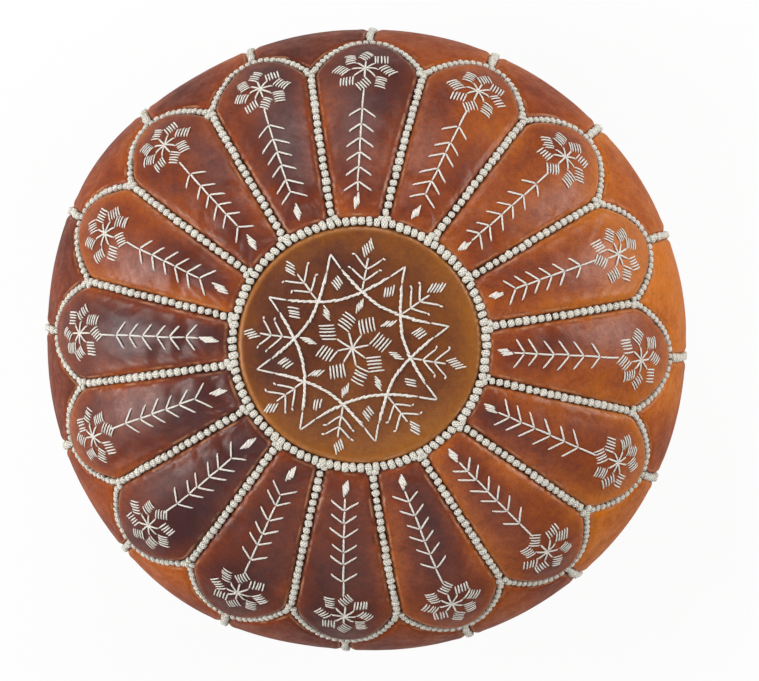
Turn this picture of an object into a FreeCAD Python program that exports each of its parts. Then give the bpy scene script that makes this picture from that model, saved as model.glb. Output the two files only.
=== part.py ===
"""Moroccan leather pouf: a stuffed drum of stitched leather panels with a zip in its base.

Millimetres, +Z up. The origin is the middle of the base, on the floor. One petal of the top lies
along +X and another along +Y, and the zip runs along X. Lengths "along the leather" follow the
meridian: the curve from the middle of the top, over the shoulder and down to the base seam.
The pouf is slightly oval, so its pieces are built round and then narrowed along Y.
"""

import FreeCAD, Part
import os
from math import asin, atan2, cos, degrees, pi, sin, sqrt

Vector = FreeCAD.Vector

# ---------------------------------------------------------------- driving dimensions
petal_count = 16
body_width = 560.0  # over the seams, along X
body_depth = 545.0  # over the seams, along Y
overall_height = 330.0
girth_height = 150.0  # height of the widest place
crown_fullness = 2.4  # superellipse exponent of the half above the girth: 2 is an ellipse
skirt_fullness = 2.5  # the same for the half below it

leather = 1.4  # thickness of the dyed goatskin
seam_gap = 0.4  # between the edges of two panels that are sewn together
seat_gap = 0.3  # between a soft piece and the one it lies on

medallion_reach = 101.0  # along the leather, from the middle of the top to the medallion's seam
petal_side = 143.0  # along the leather, from the medallion's seam to the end of a petal's straight side
petal_arch = 44.0  # along the leather, from there to the petal's tip
medallion_puff = 3.0  # how far the filling pushes a panel out between its seams
petal_puff = 5.0
side_puff = 2.5

base_radius = 205.0  # of the base, along X
base_edge = 1.0  # upright part of the base's edge, above its rounding
base_round = 7.0  # radius of that rounding

braid_width = 7.0  # of the braided thread over a seam
braid_height = 3.0
braid_edge = 0.5  # height of the braid's flanks
base_cord_radius = 3.3  # of the thicker thread round the base

groove_end_margin = 29.0  # from the end of the zip's slot to the base's edge
groove_half_width = 8.0
groove_end_room = 4.0  # beyond the zip's pull when that lies outwards
flange_width = 13.0  # leather turned in round the slot, for the tapes
tape_margin = 3.8  # from a tape's outer edges to the turned-in leather's edges
tape_thickness = 0.8
tape_split = 1.2  # from the centre line to each tape
tooth_thickness = 1.15
tooth_play = 0.15  # between neighbouring teeth of the two rows
tooth_height = 2.2
tooth_overlap = 0.9  # how far a tooth reaches across the centre line
tooth_leg = 2.2  # how far a tooth grips its tape
stop_length = 3.0
stop_height = 3.0
stop_lip = 0.6  # how far a top stop stands out from its tape's edge

slider_length = 14.0
slider_grip = 4.0  # length of chain inside the slider when the zip is closed
slider_flange = 1.0  # from the chain to the slider's outside at its closed end
slider_flare = 0.6  # how much wider it is, on each side, at its open end
slider_shoulder = 6.5  # length of the narrowing part
slider_wing = 1.2
slider_clearance = 0.2  # round the chain
tape_clearance = 0.25  # between the slider's flanges and a tape
post_width = 1.8
post_length = 3.0
crown_length = 8.0
crown_width = 2.4
crown_foot = 1.4
crown_thickness = 1.0
crown_floor_gap = 2.0  # from the floor up to the crown
pin_radius = 0.75
pin_clearance = 0.2
pull_length = 26.0  # from the pin to the tip
pull_thickness = 1.2
pull_arm_width = 2.0
pull_eye_gap = 0.5  # on each side of the crown
pull_eye_end = 2.5  # beyond the crown's end
pull_corner = 3.0
pull_hole_radius = 1.6
pull_hole_inset = 5.0  # from the tip
pull_floor_gap = 0.3  # the pull hangs down to just above the floor
channel_room = 1.5  # from the zip to the filling

# ---------------------------------------------------------------- worked out from them
radius = body_width / 2
narrowing = body_depth / body_width
crown_height = overall_height - medallion_puff
pitch_angle = 2 * pi / petal_count
half_pitch = pitch_angle / 2
junction = medallion_reach + petal_side
tip = junction + petal_arch
base_rise = base_round + base_edge

half_channel = tooth_height / 2 + slider_clearance
pin_window = 2 * (pin_radius + pin_clearance)
crown_bottom = crown_floor_gap
wing_bottom = crown_bottom + crown_thickness + pin_window
tape_middle = wing_bottom + slider_wing + half_channel
zip_plane = tape_middle - tape_thickness / 2  # the face of the turned-in leather that carries the tapes
slider_top = tape_middle + half_channel + slider_wing

groove_half_length = base_radius - groove_end_margin
chain_half_length = groove_half_length - groove_end_room - pull_length - slider_length
tooth_pitch = 2 * (tooth_thickness + tooth_play)
chain_edge = tape_split + tooth_leg
throat_half_width = chain_edge + slider_clearance
slider_rest = chain_half_length + tooth_thickness / 2 + slider_length / 2 - slider_grip
slider_front = slider_rest + slider_length / 2
slider_back = slider_rest - slider_length / 2
pin_height = wing_bottom - pin_clearance - pin_radius
pull_eye_half_width = crown_width / 2 + pull_eye_gap
pull_half_width = pull_eye_half_width + pull_arm_width

# ---------------------------------------------------------------- how finely curved faces are drawn
meridian_steps = 24  # for each half
medallion_steps = 10
petal_rows = 14
petal_columns = 12
side_rows = 22
side_half_columns = 6
braid_columns = 6
sew_tolerance = 1e-3
far = 2 * radius  # longer than anything it cuts


# ---------------------------------------------------------------- the leather's shape
def profile_point(turn, side, half_height, fullness):
    """A point of one quarter of the profile. turn is 0 on the axis and a right angle at the girth."""
    r = radius * sin(turn) ** (2 / fullness)
    z = girth_height + side * half_height * cos(turn) ** (2 / fullness)
    return Vector(r, 0, z)


def meridian_curve():
    """The profile from the middle of the top to the base seam, as one spline in the XZ plane."""
    upper = crown_height - girth_height
    reach = (base_radius / radius) ** skirt_fullness
    lower = (girth_height - base_rise - seam_gap) / (1 - reach) ** (1 / skirt_fullness)
    last_turn = atan2(sqrt(reach), sqrt(1 - reach))
    crown = []
    skirt = []
    for i in range(meridian_steps):
        crown.append(profile_point(pi / 2 * i / meridian_steps, 1, upper, crown_fullness))
        turn = pi / 2 - (pi / 2 - last_turn) * (i + 1) / meridian_steps
        skirt.append(profile_point(turn, -1, lower, skirt_fullness))
    curve = Part.BSplineCurve()
    curve.interpolate(crown + [Vector(radius, 0, girth_height)] + skirt)
    return curve


meridian = meridian_curve()
base_seam = meridian.length()


def on_meridian(s):
    """(distance from the axis, height, and the outward normal's two parts) at a length s along it."""
    u = meridian.parameterAtDistance(s, meridian.FirstParameter)
    point = meridian.value(u)
    tangent = meridian.tangent(u)[0]
    return point.x, point.z, -tangent.z, tangent.x


def arch_reach(angle):
    """Length along the leather to the scalloped seam, at an angle from the middle of a petal."""
    return junction + petal_arch * sin(pi / 2 * (1 - abs(angle) / half_pitch))


def swell(share, power=4):
    """A swelling between two seams: nothing at shares 0 and 1, and nearly flat at 1 in between."""
    return 1 - abs(2 * share - 1) ** power


def puff(angle, s):
    """How far the leather stands out from its seams, at an angle from the middle of a petal."""
    if s <= medallion_reach:
        return medallion_puff * (1 - (s / medallion_reach) ** 2) ** 2
    across = angle / half_pitch
    seam = arch_reach(angle)
    if s <= seam:
        width = on_meridian(s)[0] / on_meridian(junction)[0]
        along = (s - medallion_reach) / (seam - medallion_reach)
        return petal_puff * width * cos(pi / 2 * across) ** 2 * swell(along)
    along = (s - seam) / (base_seam - seam)
    return side_puff * sin(pi / 2 * across) ** 2 * swell(along)


def leather_point(angle, s, lift=0.0):
    """A place on the outside of the leather, or lifted off it, at an angle from the middle of a petal."""
    r, z, nr, nz = on_meridian(s)
    rise = puff(angle, s) + lift
    return Vector((r + nr * rise) * cos(angle), (r + nr * rise) * sin(angle), z + nz * rise)


# ---------------------------------------------------------------- solids from points
def spline_face(rows):
    surface = Part.BSplineSurface()
    surface.interpolate(rows)
    return surface


def spline_edge(points):
    curve = Part.BSplineCurve()
    curve.interpolate(points)
    return curve.toShape()


def line_edge(a, b):
    return Part.LineSegment(a, b).toShape()


def patch_faces(outer_rows, inner_rows, open_side=False):
    """An outer and an inner spline face and the walls between them. open_side leaves one wall out."""
    outer = spline_face(outer_rows)
    inner = spline_face(inner_rows)
    u0, u1, v0, v1 = outer.bounds()
    a0, a1, b0, b1 = inner.bounds()
    pairs = [
        (outer.uIso(u0), inner.uIso(a0)),
        (outer.uIso(u1), inner.uIso(a1)),
        (outer.vIso(v1), inner.vIso(b1)),
    ]
    if not open_side:
        pairs.append((outer.vIso(v0), inner.vIso(b0)))
    walls = [Part.makeRuledSurface(a.toShape(), b.toShape()) for a, b in pairs]
    return [outer.toShape(), inner.toShape()] + walls


def sewn(faces):
    """One closed solid from faces that meet at their edges."""
    shell = Part.makeShell(faces)
    shell.sewShape(sew_tolerance)
    solid = Part.makeSolid(Part.Shell(shell.Faces))
    if solid.Volume < 0:
        solid.reverse()
    return solid


def turned(outline):
    """A closed outline of edges in the XZ plane, turned round Z."""
    wire = Part.Wire(Part.__sortEdges__(outline))
    return Part.Face(wire).revolve(Vector(), Vector(0, 0, 1), 360)


def narrowed(shape):
    """A round shape made as oval as the body."""
    matrix = FreeCAD.Matrix()
    matrix.scale(1, narrowing, 1)
    return shape.transformGeometry(matrix)


def placed(shape, angle):
    """A piece built along +X, turned to its place and narrowed with the body."""
    copy = shape.copy()
    copy.rotate(Vector(), Vector(0, 0, 1), degrees(angle))
    return narrowed(copy)


def box(x0, x1, y0, y1, z0, z1):
    return Part.makeBox(x1 - x0, y1 - y0, z1 - z0, Vector(x0, y0, z0))


# ---------------------------------------------------------------- leather panels
def medallion():
    """The round panel in the middle of the top."""
    end = medallion_reach - seam_gap / 2
    reaches = [end * i / medallion_steps for i in range(medallion_steps + 1)]
    outer = [leather_point(0, s) for s in reaches]
    inner = [leather_point(0, s, -leather) for s in reaches]
    outer[0].x = inner[0].x = 0
    rim = line_edge(outer[-1], inner[-1])
    axis = line_edge(outer[0], inner[0])
    return narrowed(turned([spline_edge(outer), spline_edge(inner), rim, axis]))


def petal():
    """A panel of the top: straight sides from the medallion's seam, then a round arched end."""
    outer = []
    inner = []
    start = medallion_reach + seam_gap / 2
    for i in range(petal_rows + 1):
        outer.append([])
        inner.append([])
        for j in range(petal_columns + 1):
            across = 2 * j / petal_columns - 1
            end = arch_reach(across * half_pitch) - seam_gap / 2
            s = start + (end - start) * i / petal_rows
            angle = across * (half_pitch - seam_gap / 2 / on_meridian(s)[0])
            outer[i].append(leather_point(angle, s))
            inner[i].append(leather_point(angle, s, -leather))
    return sewn(patch_faces(outer, inner))


def side_panel():
    """A panel of the side, between two petals' middles: its top runs up to where the petals meet."""
    faces = []
    for side in (1, -1):
        outer = []
        inner = []
        for i in range(side_rows + 1):
            outer.append([])
            inner.append([])
            for j in range(side_half_columns + 1):
                across = j / side_half_columns
                start = arch_reach(half_pitch * (1 - across)) + seam_gap / 2
                s = start + (base_seam - start) * i / side_rows
                angle = across * (half_pitch - seam_gap / 2 / on_meridian(s)[0])
                for lift, points in ((0, outer), (-leather, inner)):
                    point = leather_point(half_pitch - angle, s, lift)
                    out = sqrt(point.x**2 + point.y**2)
                    points[i].append(Vector(out * cos(angle), side * out * sin(angle), point.z))
        faces += patch_faces(outer, inner, open_side=True)
    return sewn(faces)


def base_pan(shrink):
    """The base's outer form, or its inner form when shrunk by the leather's thickness."""
    centre = Vector(0, 0, shrink)
    x_end = centre + Vector(base_radius - shrink, 0, 0)
    y_end = centre + Vector(0, base_radius * narrowing - shrink, 0)
    far_end, near_end = sorted([x_end, y_end], key=centre.distanceToPoint, reverse=True)
    rim = Part.Ellipse(far_end, near_end, centre).toShape()
    pan = Part.Face(Part.Wire([rim])).extrude(Vector(0, 0, base_rise))
    bottom_edge = min(pan.Edges, key=lambda edge: edge.CenterOfMass.z)
    return pan.makeFillet(base_round - shrink, [bottom_edge])


def base_half():
    """The half of the base on +Y, with its leather turned up and in round the zip's slot."""
    x = groove_half_length
    y = groove_half_width
    pan = base_pan(0).cut(base_pan(leather).fuse(box(-far, far, -far, far, base_rise, far)))
    slot = box(-x, x, -y, y, -leather, zip_plane + leather)
    web = box(-x - leather, x + leather, -y - leather, y + leather, 0, zip_plane)
    x += flange_width
    y += flange_width
    flange = box(-x, x, -y, y, zip_plane - leather, zip_plane)
    half = box(-far, far, seam_gap / 2, far, -far, far)
    return pan.fuse([web, flange]).cut(slot).common(half).removeSplitter()


# ---------------------------------------------------------------- braided thread over the seams
def braid_back(across):
    """Height of a braid's rounded back, from -1 at one flank to 1 at the other."""
    return braid_edge + (braid_height - braid_edge) * cos(pi / 2 * across)


def braid(centre_line):
    """A braid along places (angle, s) of the leather."""
    under = []
    back = []
    last = len(centre_line) - 1
    for k, (angle, s) in enumerate(centre_line):
        ahead = centre_line[min(k + 1, last)]
        behind = centre_line[max(k - 1, 0)]
        r = on_meridian(s)[0]
        step_round = (ahead[0] - behind[0]) * r
        step_down = ahead[1] - behind[1]
        length = sqrt(step_round**2 + step_down**2)
        under.append([])
        back.append([])
        for j in range(braid_columns + 1):
            across = 2 * j / braid_columns - 1
            offset = across * braid_width / 2
            place = (angle + offset * step_down / length / r, s - offset * step_round / length)
            under[k].append(leather_point(*place, seat_gap))
            back[k].append(leather_point(*place, seat_gap + braid_back(across)))
    return sewn(patch_faces(back, under))


def straight_braid(angle, start, end, steps):
    return braid([(angle, start + (end - start) * k / steps) for k in range(steps + 1)])


def petal_seam_braid():
    """The braid between two petals, from the medallion's braid to where the arches meet."""
    return straight_braid(half_pitch, medallion_reach + braid_width / 2 + seat_gap, junction, 12)


def base_cord_place():
    """(half the angle between side and base, distance from their corner to the base cord's centre)"""
    nr, nz = on_meridian(base_seam)[2:]
    half_corner = atan2(-nz, nr) / 2
    return half_corner, (base_cord_radius + seat_gap) / cos(half_corner)


def side_seam_braid():
    """The braid down the side, from a petal's tip to the cord of the base seam."""
    half_corner, stand_off = base_cord_place()
    start = tip + braid_width / 2 + seat_gap
    end = base_seam - stand_off * sin(half_corner) - base_cord_radius - seat_gap
    return straight_braid(0, start, end, 18)


def arch_braid(steps=24):
    """The braid round the arched end of a petal, from crossing to crossing."""
    sweep = half_pitch - braid_width / 2 / on_meridian(junction)[0]
    angles = [-sweep * cos(pi * k / steps) for k in range(steps + 1)]
    return braid([(angle, arch_reach(angle)) for angle in angles])


def medallion_seam_braid():
    """The ring of braid round the medallion."""
    under = []
    back = []
    for j in range(braid_columns + 1):
        across = 2 * j / braid_columns - 1
        s = medallion_reach + across * braid_width / 2
        under.append(leather_point(0, s, seat_gap))
        back.append(leather_point(0, s, seat_gap + braid_back(across)))
    flanks = [line_edge(under[0], back[0]), line_edge(under[-1], back[-1])]
    return narrowed(turned([spline_edge(under), spline_edge(back)] + flanks))


def base_seam_braid():
    """The ring of thread in the corner between the side panels and the base."""
    half_corner, stand_off = base_cord_place()
    r, z = on_meridian(base_seam)[:2]
    centre = Vector(r + stand_off * cos(half_corner), 0, z - stand_off * sin(half_corner))
    return narrowed(turned([Part.Circle(centre, Vector(0, 1, 0), base_cord_radius).toShape()]))


# ---------------------------------------------------------------- filling
def filling(steps=40):
    """The cotton wadding: one body that fills the leather out to its seams, hollowed over the zip."""
    depth = leather + seat_gap
    outline = []
    for i in range(steps + 1):
        r, z, nr, nz = on_meridian(base_seam * i / steps)
        outline.append(Vector(r - nr * depth, 0, z - nz * depth))
    outline[0].x = 0
    shoulder = Vector(base_radius - depth, 0, base_rise)
    foot = Vector(base_radius - base_round - seat_gap, 0, depth)
    middle = Vector(0, 0, depth)
    body = turned(
        [
            spline_edge(outline),
            line_edge(outline[-1], shoulder),
            line_edge(shoulder, foot),
            line_edge(foot, middle),
            line_edge(middle, outline[0]),
        ]
    )
    x = groove_half_length + flange_width + channel_room
    y = groove_half_width + flange_width + channel_room
    return narrowed(body).cut(box(-x, x, -y, y, 0, slider_top + channel_room))


# ---------------------------------------------------------------- zip
def zip_tape():
    """The woven tape on +Y, lying on the turned-in leather."""
    x = groove_half_length + flange_width - tape_margin
    y = groove_half_width + flange_width - tape_margin
    return box(-x, x, tape_split, y, zip_plane, zip_plane + tape_thickness)


def clip(x0, x1, y0, height):
    """A metal block that grips the edge of the tape on +Y, starting at y0."""
    block = box(x0, x1, y0, chain_edge, tape_middle - height / 2, tape_middle + height / 2)
    return block.cut(zip_tape())


def zip_teeth(shift):
    """The row of teeth on +Y. shift moves it along the chain to mesh with the other row."""
    count = int(2 * chain_half_length / tooth_pitch)
    starts = [chain_half_length - shift - k * tooth_pitch - tooth_thickness / 2 for k in range(count)]
    return [clip(x, x + tooth_thickness, -tooth_overlap, tooth_height) for x in starts]


def zip_top_stop():
    """The clip on +Y that ends the slider's travel when the zip is closed."""
    x = slider_front + slider_clearance
    return clip(x, x + stop_length, tape_split - stop_lip, stop_height)


def zip_bottom_stop():
    """The clip across both tapes that ends the chain."""
    x = -chain_half_length - tooth_pitch
    half = clip(x - stop_length, x, 0, stop_height)
    return half.fuse(mirrored(half)).removeSplitter()


def slider_outline():
    """The slider from above: wide where the open tapes enter and narrow where the chain leaves."""
    nose = throat_half_width + slider_flange
    wide = nose + slider_flare
    half = [(slider_front, wide), (slider_back + slider_shoulder, wide), (slider_back, nose)]
    points = [Vector(x, y, 0) for x, y in half] + [Vector(x, -y, 0) for x, y in reversed(half)]
    return Part.Face(Part.makePolygon(points + points[:1]))


def zip_slider():
    """Two wings joined by a post, with flanges that hold the chain in and a crown for the pull."""
    low = tape_middle - half_channel
    high = tape_middle + half_channel
    block = slider_outline().extrude(Vector(0, 0, slider_top - wing_bottom))
    block.translate(Vector(0, 0, wing_bottom))
    throat = box(slider_back, slider_front, -throat_half_width, throat_half_width, low, high)
    tape_low = zip_plane - tape_clearance
    tape_high = zip_plane + tape_thickness + tape_clearance
    tape_slot = box(slider_back, slider_front, -far, far, tape_low, tape_high)
    post = box(slider_front - post_length, slider_front, -post_width / 2, post_width / 2, low, high)
    x = crown_length / 2
    y = crown_width / 2
    crown = box(slider_rest - x, slider_rest + x, -y, y, crown_bottom, wing_bottom)
    x -= crown_foot
    window = box(slider_rest - x, slider_rest + x, -y, y, crown_bottom + crown_thickness, wing_bottom)
    return block.cut([throat, tape_slot]).fuse([post, crown.cut(window)]).removeSplitter()


def zip_pull():
    """The pull: a pin through the crown, an arm on each side of it and a tab, hanging along the chain."""
    half_thickness = pull_thickness / 2
    y = pull_half_width
    tab = box(-pull_length, 0, -y, y, -half_thickness, half_thickness)
    upright = [edge for edge in tab.Edges if edge.BoundBox.ZLength > half_thickness]
    tab = tab.makeFillet(pull_corner, [edge for edge in upright if edge.BoundBox.XMax < -pull_length / 2])
    y = pull_eye_half_width
    eye = box(-crown_length / 2 - pull_eye_end, pin_radius, -y, y, -half_thickness, half_thickness)
    hole_place = Vector(pull_hole_inset - pull_length, 0, -half_thickness)
    hole = Part.makeCylinder(pull_hole_radius, pull_thickness, hole_place)
    pin_place = Vector(0, -pull_half_width, 0)
    pin = Part.makeCylinder(pin_radius, 2 * pull_half_width, pin_place, Vector(0, 1, 0))
    pull = tab.cut([eye, hole]).fuse(pin).removeSplitter()
    droop = asin((pin_height - half_thickness - pull_floor_gap) / pull_length)
    pull.rotate(Vector(), Vector(0, 1, 0), -degrees(droop))
    pull.translate(Vector(slider_rest, 0, pin_height))
    return pull


def mirrored(shape):
    return shape.mirror(Vector(), Vector(0, 1, 0))


# ---------------------------------------------------------------- write one file per sub-part
def write(name, solids):
    shape = solids[0] if len(solids) == 1 else Part.makeCompound(solids)
    shape.exportStep(f"parts/{name}.step")
    volume = sum(solid.Volume for solid in solids) / 1000
    valid = all(solid.isValid() for solid in solids)
    print(f"{name}: {len(solids)} solids, {volume:.2f} cm3, valid {valid}")


def write_round(name, shape, offset):
    """Write a ring of equal panels, each as its own sub-part."""
    for n in range(petal_count):
        write(f"{name}_{n + 1:02d}", [placed(shape, n * pitch_angle + offset)])


def ring(shape, offset=0.0):
    """The same piece at every petal, for one sub-part of many solids."""
    return [placed(shape, n * pitch_angle + offset) for n in range(petal_count)]


def write_pair(name, left, right):
    write(f"{name}_left", left)
    write(f"{name}_right", [mirrored(solid) for solid in right])


os.makedirs("parts", exist_ok=True)
write("medallion", [medallion()])
write_round("petal", petal(), 0)
write_round("side_panel", side_panel(), half_pitch)
write_pair("base_panel", [base_half()], [base_half()])
write("filling", [filling()])
write("medallion_seam_braid", [medallion_seam_braid()])
write("petal_seam_braids", ring(petal_seam_braid()))
write("arch_seam_braids", ring(arch_braid()))
write("side_seam_braids", ring(side_seam_braid()))
write("base_seam_braid", [base_seam_braid()])
write_pair("zip_tape", [zip_tape()], [zip_tape()])
write_pair("zip_teeth", zip_teeth(0), zip_teeth(tooth_pitch / 2))
write("zip_top_stops", [zip_top_stop(), mirrored(zip_top_stop())])
write("zip_bottom_stop", [zip_bottom_stop()])
write("zip_slider", [zip_slider()])
write("zip_pull", [zip_pull()])
print(f"slide range {-(slider_back + chain_half_length + tooth_pitch - slider_clearance):.2f}")
print(f"pin at x {slider_rest:.3f}, z {pin_height:.3f}")
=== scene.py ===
# %% [markdown]
# # A stuffed leather pouf, panel by panel
# A Moroccan pouf is a drum of goatskin panels, sewn edge to edge and stuffed until they swell. Thick
# knotted thread covers every seam, and finer thread draws the ornament on top. We load the measured
# model first and build every visible piece round it, so that nothing has to be fitted afterwards.

# %% The measured model
import math
import random
from functools import cached_property

import bmesh
import bpy
import numpy as np
from mathutils import Matrix, Vector
from mathutils.bvhtree import BVHTree


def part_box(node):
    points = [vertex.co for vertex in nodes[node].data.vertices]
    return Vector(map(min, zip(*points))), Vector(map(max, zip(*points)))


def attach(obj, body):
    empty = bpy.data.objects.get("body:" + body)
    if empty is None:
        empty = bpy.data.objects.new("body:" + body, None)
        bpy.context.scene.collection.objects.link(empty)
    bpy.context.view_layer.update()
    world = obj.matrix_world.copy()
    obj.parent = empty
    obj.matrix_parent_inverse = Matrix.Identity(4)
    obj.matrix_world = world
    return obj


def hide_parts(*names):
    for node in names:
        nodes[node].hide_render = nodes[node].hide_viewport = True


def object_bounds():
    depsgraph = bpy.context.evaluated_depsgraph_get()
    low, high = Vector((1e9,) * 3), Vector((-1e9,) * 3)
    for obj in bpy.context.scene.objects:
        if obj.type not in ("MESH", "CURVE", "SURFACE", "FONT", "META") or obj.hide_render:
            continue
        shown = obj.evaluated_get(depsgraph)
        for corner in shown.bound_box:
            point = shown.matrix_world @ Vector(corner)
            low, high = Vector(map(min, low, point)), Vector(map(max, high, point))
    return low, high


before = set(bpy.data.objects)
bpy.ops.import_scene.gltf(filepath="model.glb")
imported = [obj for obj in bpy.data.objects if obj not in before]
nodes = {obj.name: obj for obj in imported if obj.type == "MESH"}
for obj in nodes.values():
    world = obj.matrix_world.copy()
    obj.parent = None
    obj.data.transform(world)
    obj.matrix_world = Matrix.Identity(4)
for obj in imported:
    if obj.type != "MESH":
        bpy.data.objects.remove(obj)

cad_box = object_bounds()
scene = bpy.context.scene
print("the measured model is", [round(b - a, 3) for a, b in zip(*cad_box)], "metres")

# %% [markdown]
# ## Sizes
# The outer sizes are read from the model. Lengths along the leather follow the meridian: the curve from
# the middle of the top, over the shoulder and down to the base seam. That is how a maker measures a
# panel, with a tape laid on the hide.

# %% Sizes, in metres
PETALS = 16
PITCH = 2 * math.pi / PETALS
HALF = PITCH / 2
BRAID_STAND = 0.0033  # how far the knots stand out from the seams
RADIUS = cad_box[1].x - BRAID_STAND
NARROWING = cad_box[1].y / cad_box[1].x
MEDALLION_PUFF = 0.003  # how far each piece's middle stands out between its seams
PETAL_PUFF = 0.005
SIDE_PUFF = 0.0025
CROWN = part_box("medallion")[1].z - MEDALLION_PUFF
GIRTH = 0.150  # height of the widest ring
CROWN_FULLNESS = 2.4  # 2 would be an ellipse
SKIRT_FULLNESS = 2.5
BASE_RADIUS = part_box("base_panel_left")[1].x
BASE_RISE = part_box("base_panel_left")[1].z
SEAM_GAP = 0.0004
LEATHER = 0.0014
MEDALLION_REACH = 0.101
JUNCTION = 0.244  # where two petals and a side panel meet
PETAL_ARCH = 0.044  # from there to a petal's tip
TIP = JUNCTION + PETAL_ARCH
print("the seams lie", round(RADIUS, 4), "m from the axis at the girth")

# %% [markdown]
# ## The shape of the leather
# Two quarter superellipses make the meridian: exponents above 2 give the full shoulder of a tightly
# stuffed drum. We walk along it once in small steps and keep a table of lengths, so that any place on
# the leather can be named by an angle and a length.

# %% The meridian
def quarter(turn, side, half_height, fullness):
    """Distance from the axis and height, for turns from the pole to the girth."""
    r = RADIUS * np.sin(turn) ** (2 / fullness)
    return r, GIRTH + side * half_height * np.cos(turn) ** (2 / fullness)


def meridian_table(steps=6000):
    reach = (BASE_RADIUS / RADIUS) ** SKIRT_FULLNESS
    skirt_height = (GIRTH - BASE_RISE - SEAM_GAP) / (1 - reach) ** (1 / SKIRT_FULLNESS)
    last = math.atan2(math.sqrt(reach), math.sqrt(1 - reach))
    crown = quarter(np.linspace(0, math.pi / 2, steps), 1, CROWN - GIRTH, CROWN_FULLNESS)
    skirt = quarter(np.linspace(math.pi / 2, last, steps)[1:], -1, skirt_height, SKIRT_FULLNESS)
    r, z = (np.concatenate(pair) for pair in zip(crown, skirt))
    s = np.concatenate([[0], np.cumsum(np.hypot(np.diff(r), np.diff(z)))])
    return s, r, z, np.gradient(r, s), np.gradient(z, s)


MERIDIAN = meridian_table()
BASE_SEAM = float(MERIDIAN[0][-1])


def on_meridian(s):
    """Distance from the axis, height, and the outward normal's two parts, at a length s."""
    r, z, dr, dz = (np.interp(s, MERIDIAN[0], column) for column in MERIDIAN[1:])
    size = np.hypot(dr, dz)
    return r, z, -dz / size, dr / size


print("from the middle of the top to the base seam the leather runs", round(BASE_SEAM, 4), "m")

# %% [markdown]
# ## Handwork
# No hand-sewn pouf is a perfect solid of revolution. Its seams wander by a millimetre and its stuffing
# is a little uneven. We add a few slow waves to every place on the leather, so that panels, knots and
# stitches drift together and still meet. The waves die out towards the base, which lies on the floor.

# %% Places on the leather
SLUMP = (-0.0056, -0.0020)  # how far the petals lie from the middle, along X and Y
TWIST = 0.006  # and how far they are turned round it
SEAM_WANDER = 0.0030  # to and fro round the axis, in radians
WAVE_HEIGHT = 0.0008
ARCHES = (  # how much further out or in each petal's arch was sewn
    0.003, -0.005, 0.002, 0.005, 0.002, 0.000, -0.005, -0.011,
    -0.003, 0.000, -0.004, -0.002, -0.001, 0.001, 0.004, 0.004,
)
OUTLINE = (  # how far the stuffing pushes the girth out, or lets it in, at even angles
    -0.002, -0.003, -0.003, -0.005, -0.003, 0.003, -0.002, 0.002, 0.004, 0.000, -0.001, 0.001,
)


def held(value):
    """A value held between 0 and 1."""
    return np.clip(value, 0, 1)


def bell(value, middle, width):
    """1 at the middle, and smoothly less on both sides."""
    return np.exp(-(((value - middle) / width) ** 2))


def stacked(x, y, z):
    """Points or directions from their three parts."""
    return np.stack(np.broadcast_arrays(x, y, z), -1)


def unit(vectors):
    return vectors / np.linalg.norm(vectors, axis=-1, keepdims=True)


def waves(seed, angle, s, slowest, fastest):
    """A smooth random swell of height about 1: a few waves round the cover and down it."""
    dice = random.Random(seed)
    total = 0
    for _ in range(9):
        turns = dice.randint(slowest, fastest)
        down = dice.uniform(-1, 1) * fastest / RADIUS
        total = total + np.sin(turns * angle + down * s + dice.uniform(0, 2 * math.pi))
    return total / 3


def carried(marks, angle):
    """Values at even angles from +X carried smoothly round to any angle."""
    place = (angle % (2 * math.pi)) / (2 * math.pi) * len(marks)
    first = np.floor(place).astype(int) % len(marks)
    share = (1 - np.cos(math.pi * (place % 1))) / 2
    marks = np.array(marks)
    return marks[first] * (1 - share) + marks[(first + 1) % len(marks)] * share


def drifted(angle, s):
    """The petals were sewn a little askew round the medallion: the places that this moves."""
    x, y = SLUMP
    share = held((BASE_SEAM - s) / 0.20) * (s > MEDALLION_REACH - SEAM_GAP)
    r = np.maximum(on_meridian(s)[0], 0.05)
    turned = angle + share * (TWIST + (y * np.cos(angle) - x * np.sin(angle)) / r)
    outwards = share * held((s - MEDALLION_REACH) / 0.05) * held((0.40 - s) / 0.10)
    aside = x * np.cos(angle) + y * np.sin(angle)
    uneven = carried(ARCHES, angle) * held((s - 0.14) / 0.08)
    return turned, s + outwards * (aside + uneven)


def stood_out(angle, s):
    """How far the uneven stuffing pushes the cover out or in, most of all at the girth."""
    return carried(OUTLINE, angle) * held((s - 0.15) / 0.13) * held((BASE_SEAM - s) / 0.12)


def free(s):
    """How free a place is to wander: not at all in the middle of the top or at the base."""
    return held((BASE_SEAM - s) / 0.10) * held(s / 0.05)


def uneven(angle, s):
    """How far the stuffing holds a place out, or lets it in, from the even form."""
    return WAVE_HEIGHT * free(s) * waves(12, angle, s, 2, 7) + stood_out(angle, s)


def leather_place(angle, s, lift=0.0):
    """Points x, y, z on the smooth surface through the seams, or lifted off it."""
    angle, s = drifted(angle, s)
    angle = angle + SEAM_WANDER * free(s) * waves(11, angle, s, 2, 9)
    r, z, nr, nz = on_meridian(s)
    lift = lift + uneven(angle, s)
    out = r + nr * lift
    return stacked(out * np.cos(angle), out * np.sin(angle) * NARROWING, z + nz * lift)


def leather_normal(angle, s):
    """Directions out of the smooth surface through the seams."""
    nr, nz = on_meridian(s)[2:]
    return unit(stacked(nr * np.cos(angle), nr * np.sin(angle) / NARROWING, nz))


def arch_turn(angle):
    """A turn that goes from 0 between two petals to a right angle at a petal's middle."""
    off_middle = np.abs((angle + HALF) % PITCH - HALF) / HALF
    return math.pi / 2 * (1 - off_middle)


def arch_reach(angle):
    """Length along the leather to the scalloped seam that ends the petals."""
    return JUNCTION + PETAL_ARCH * np.sin(arch_turn(angle))


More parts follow.
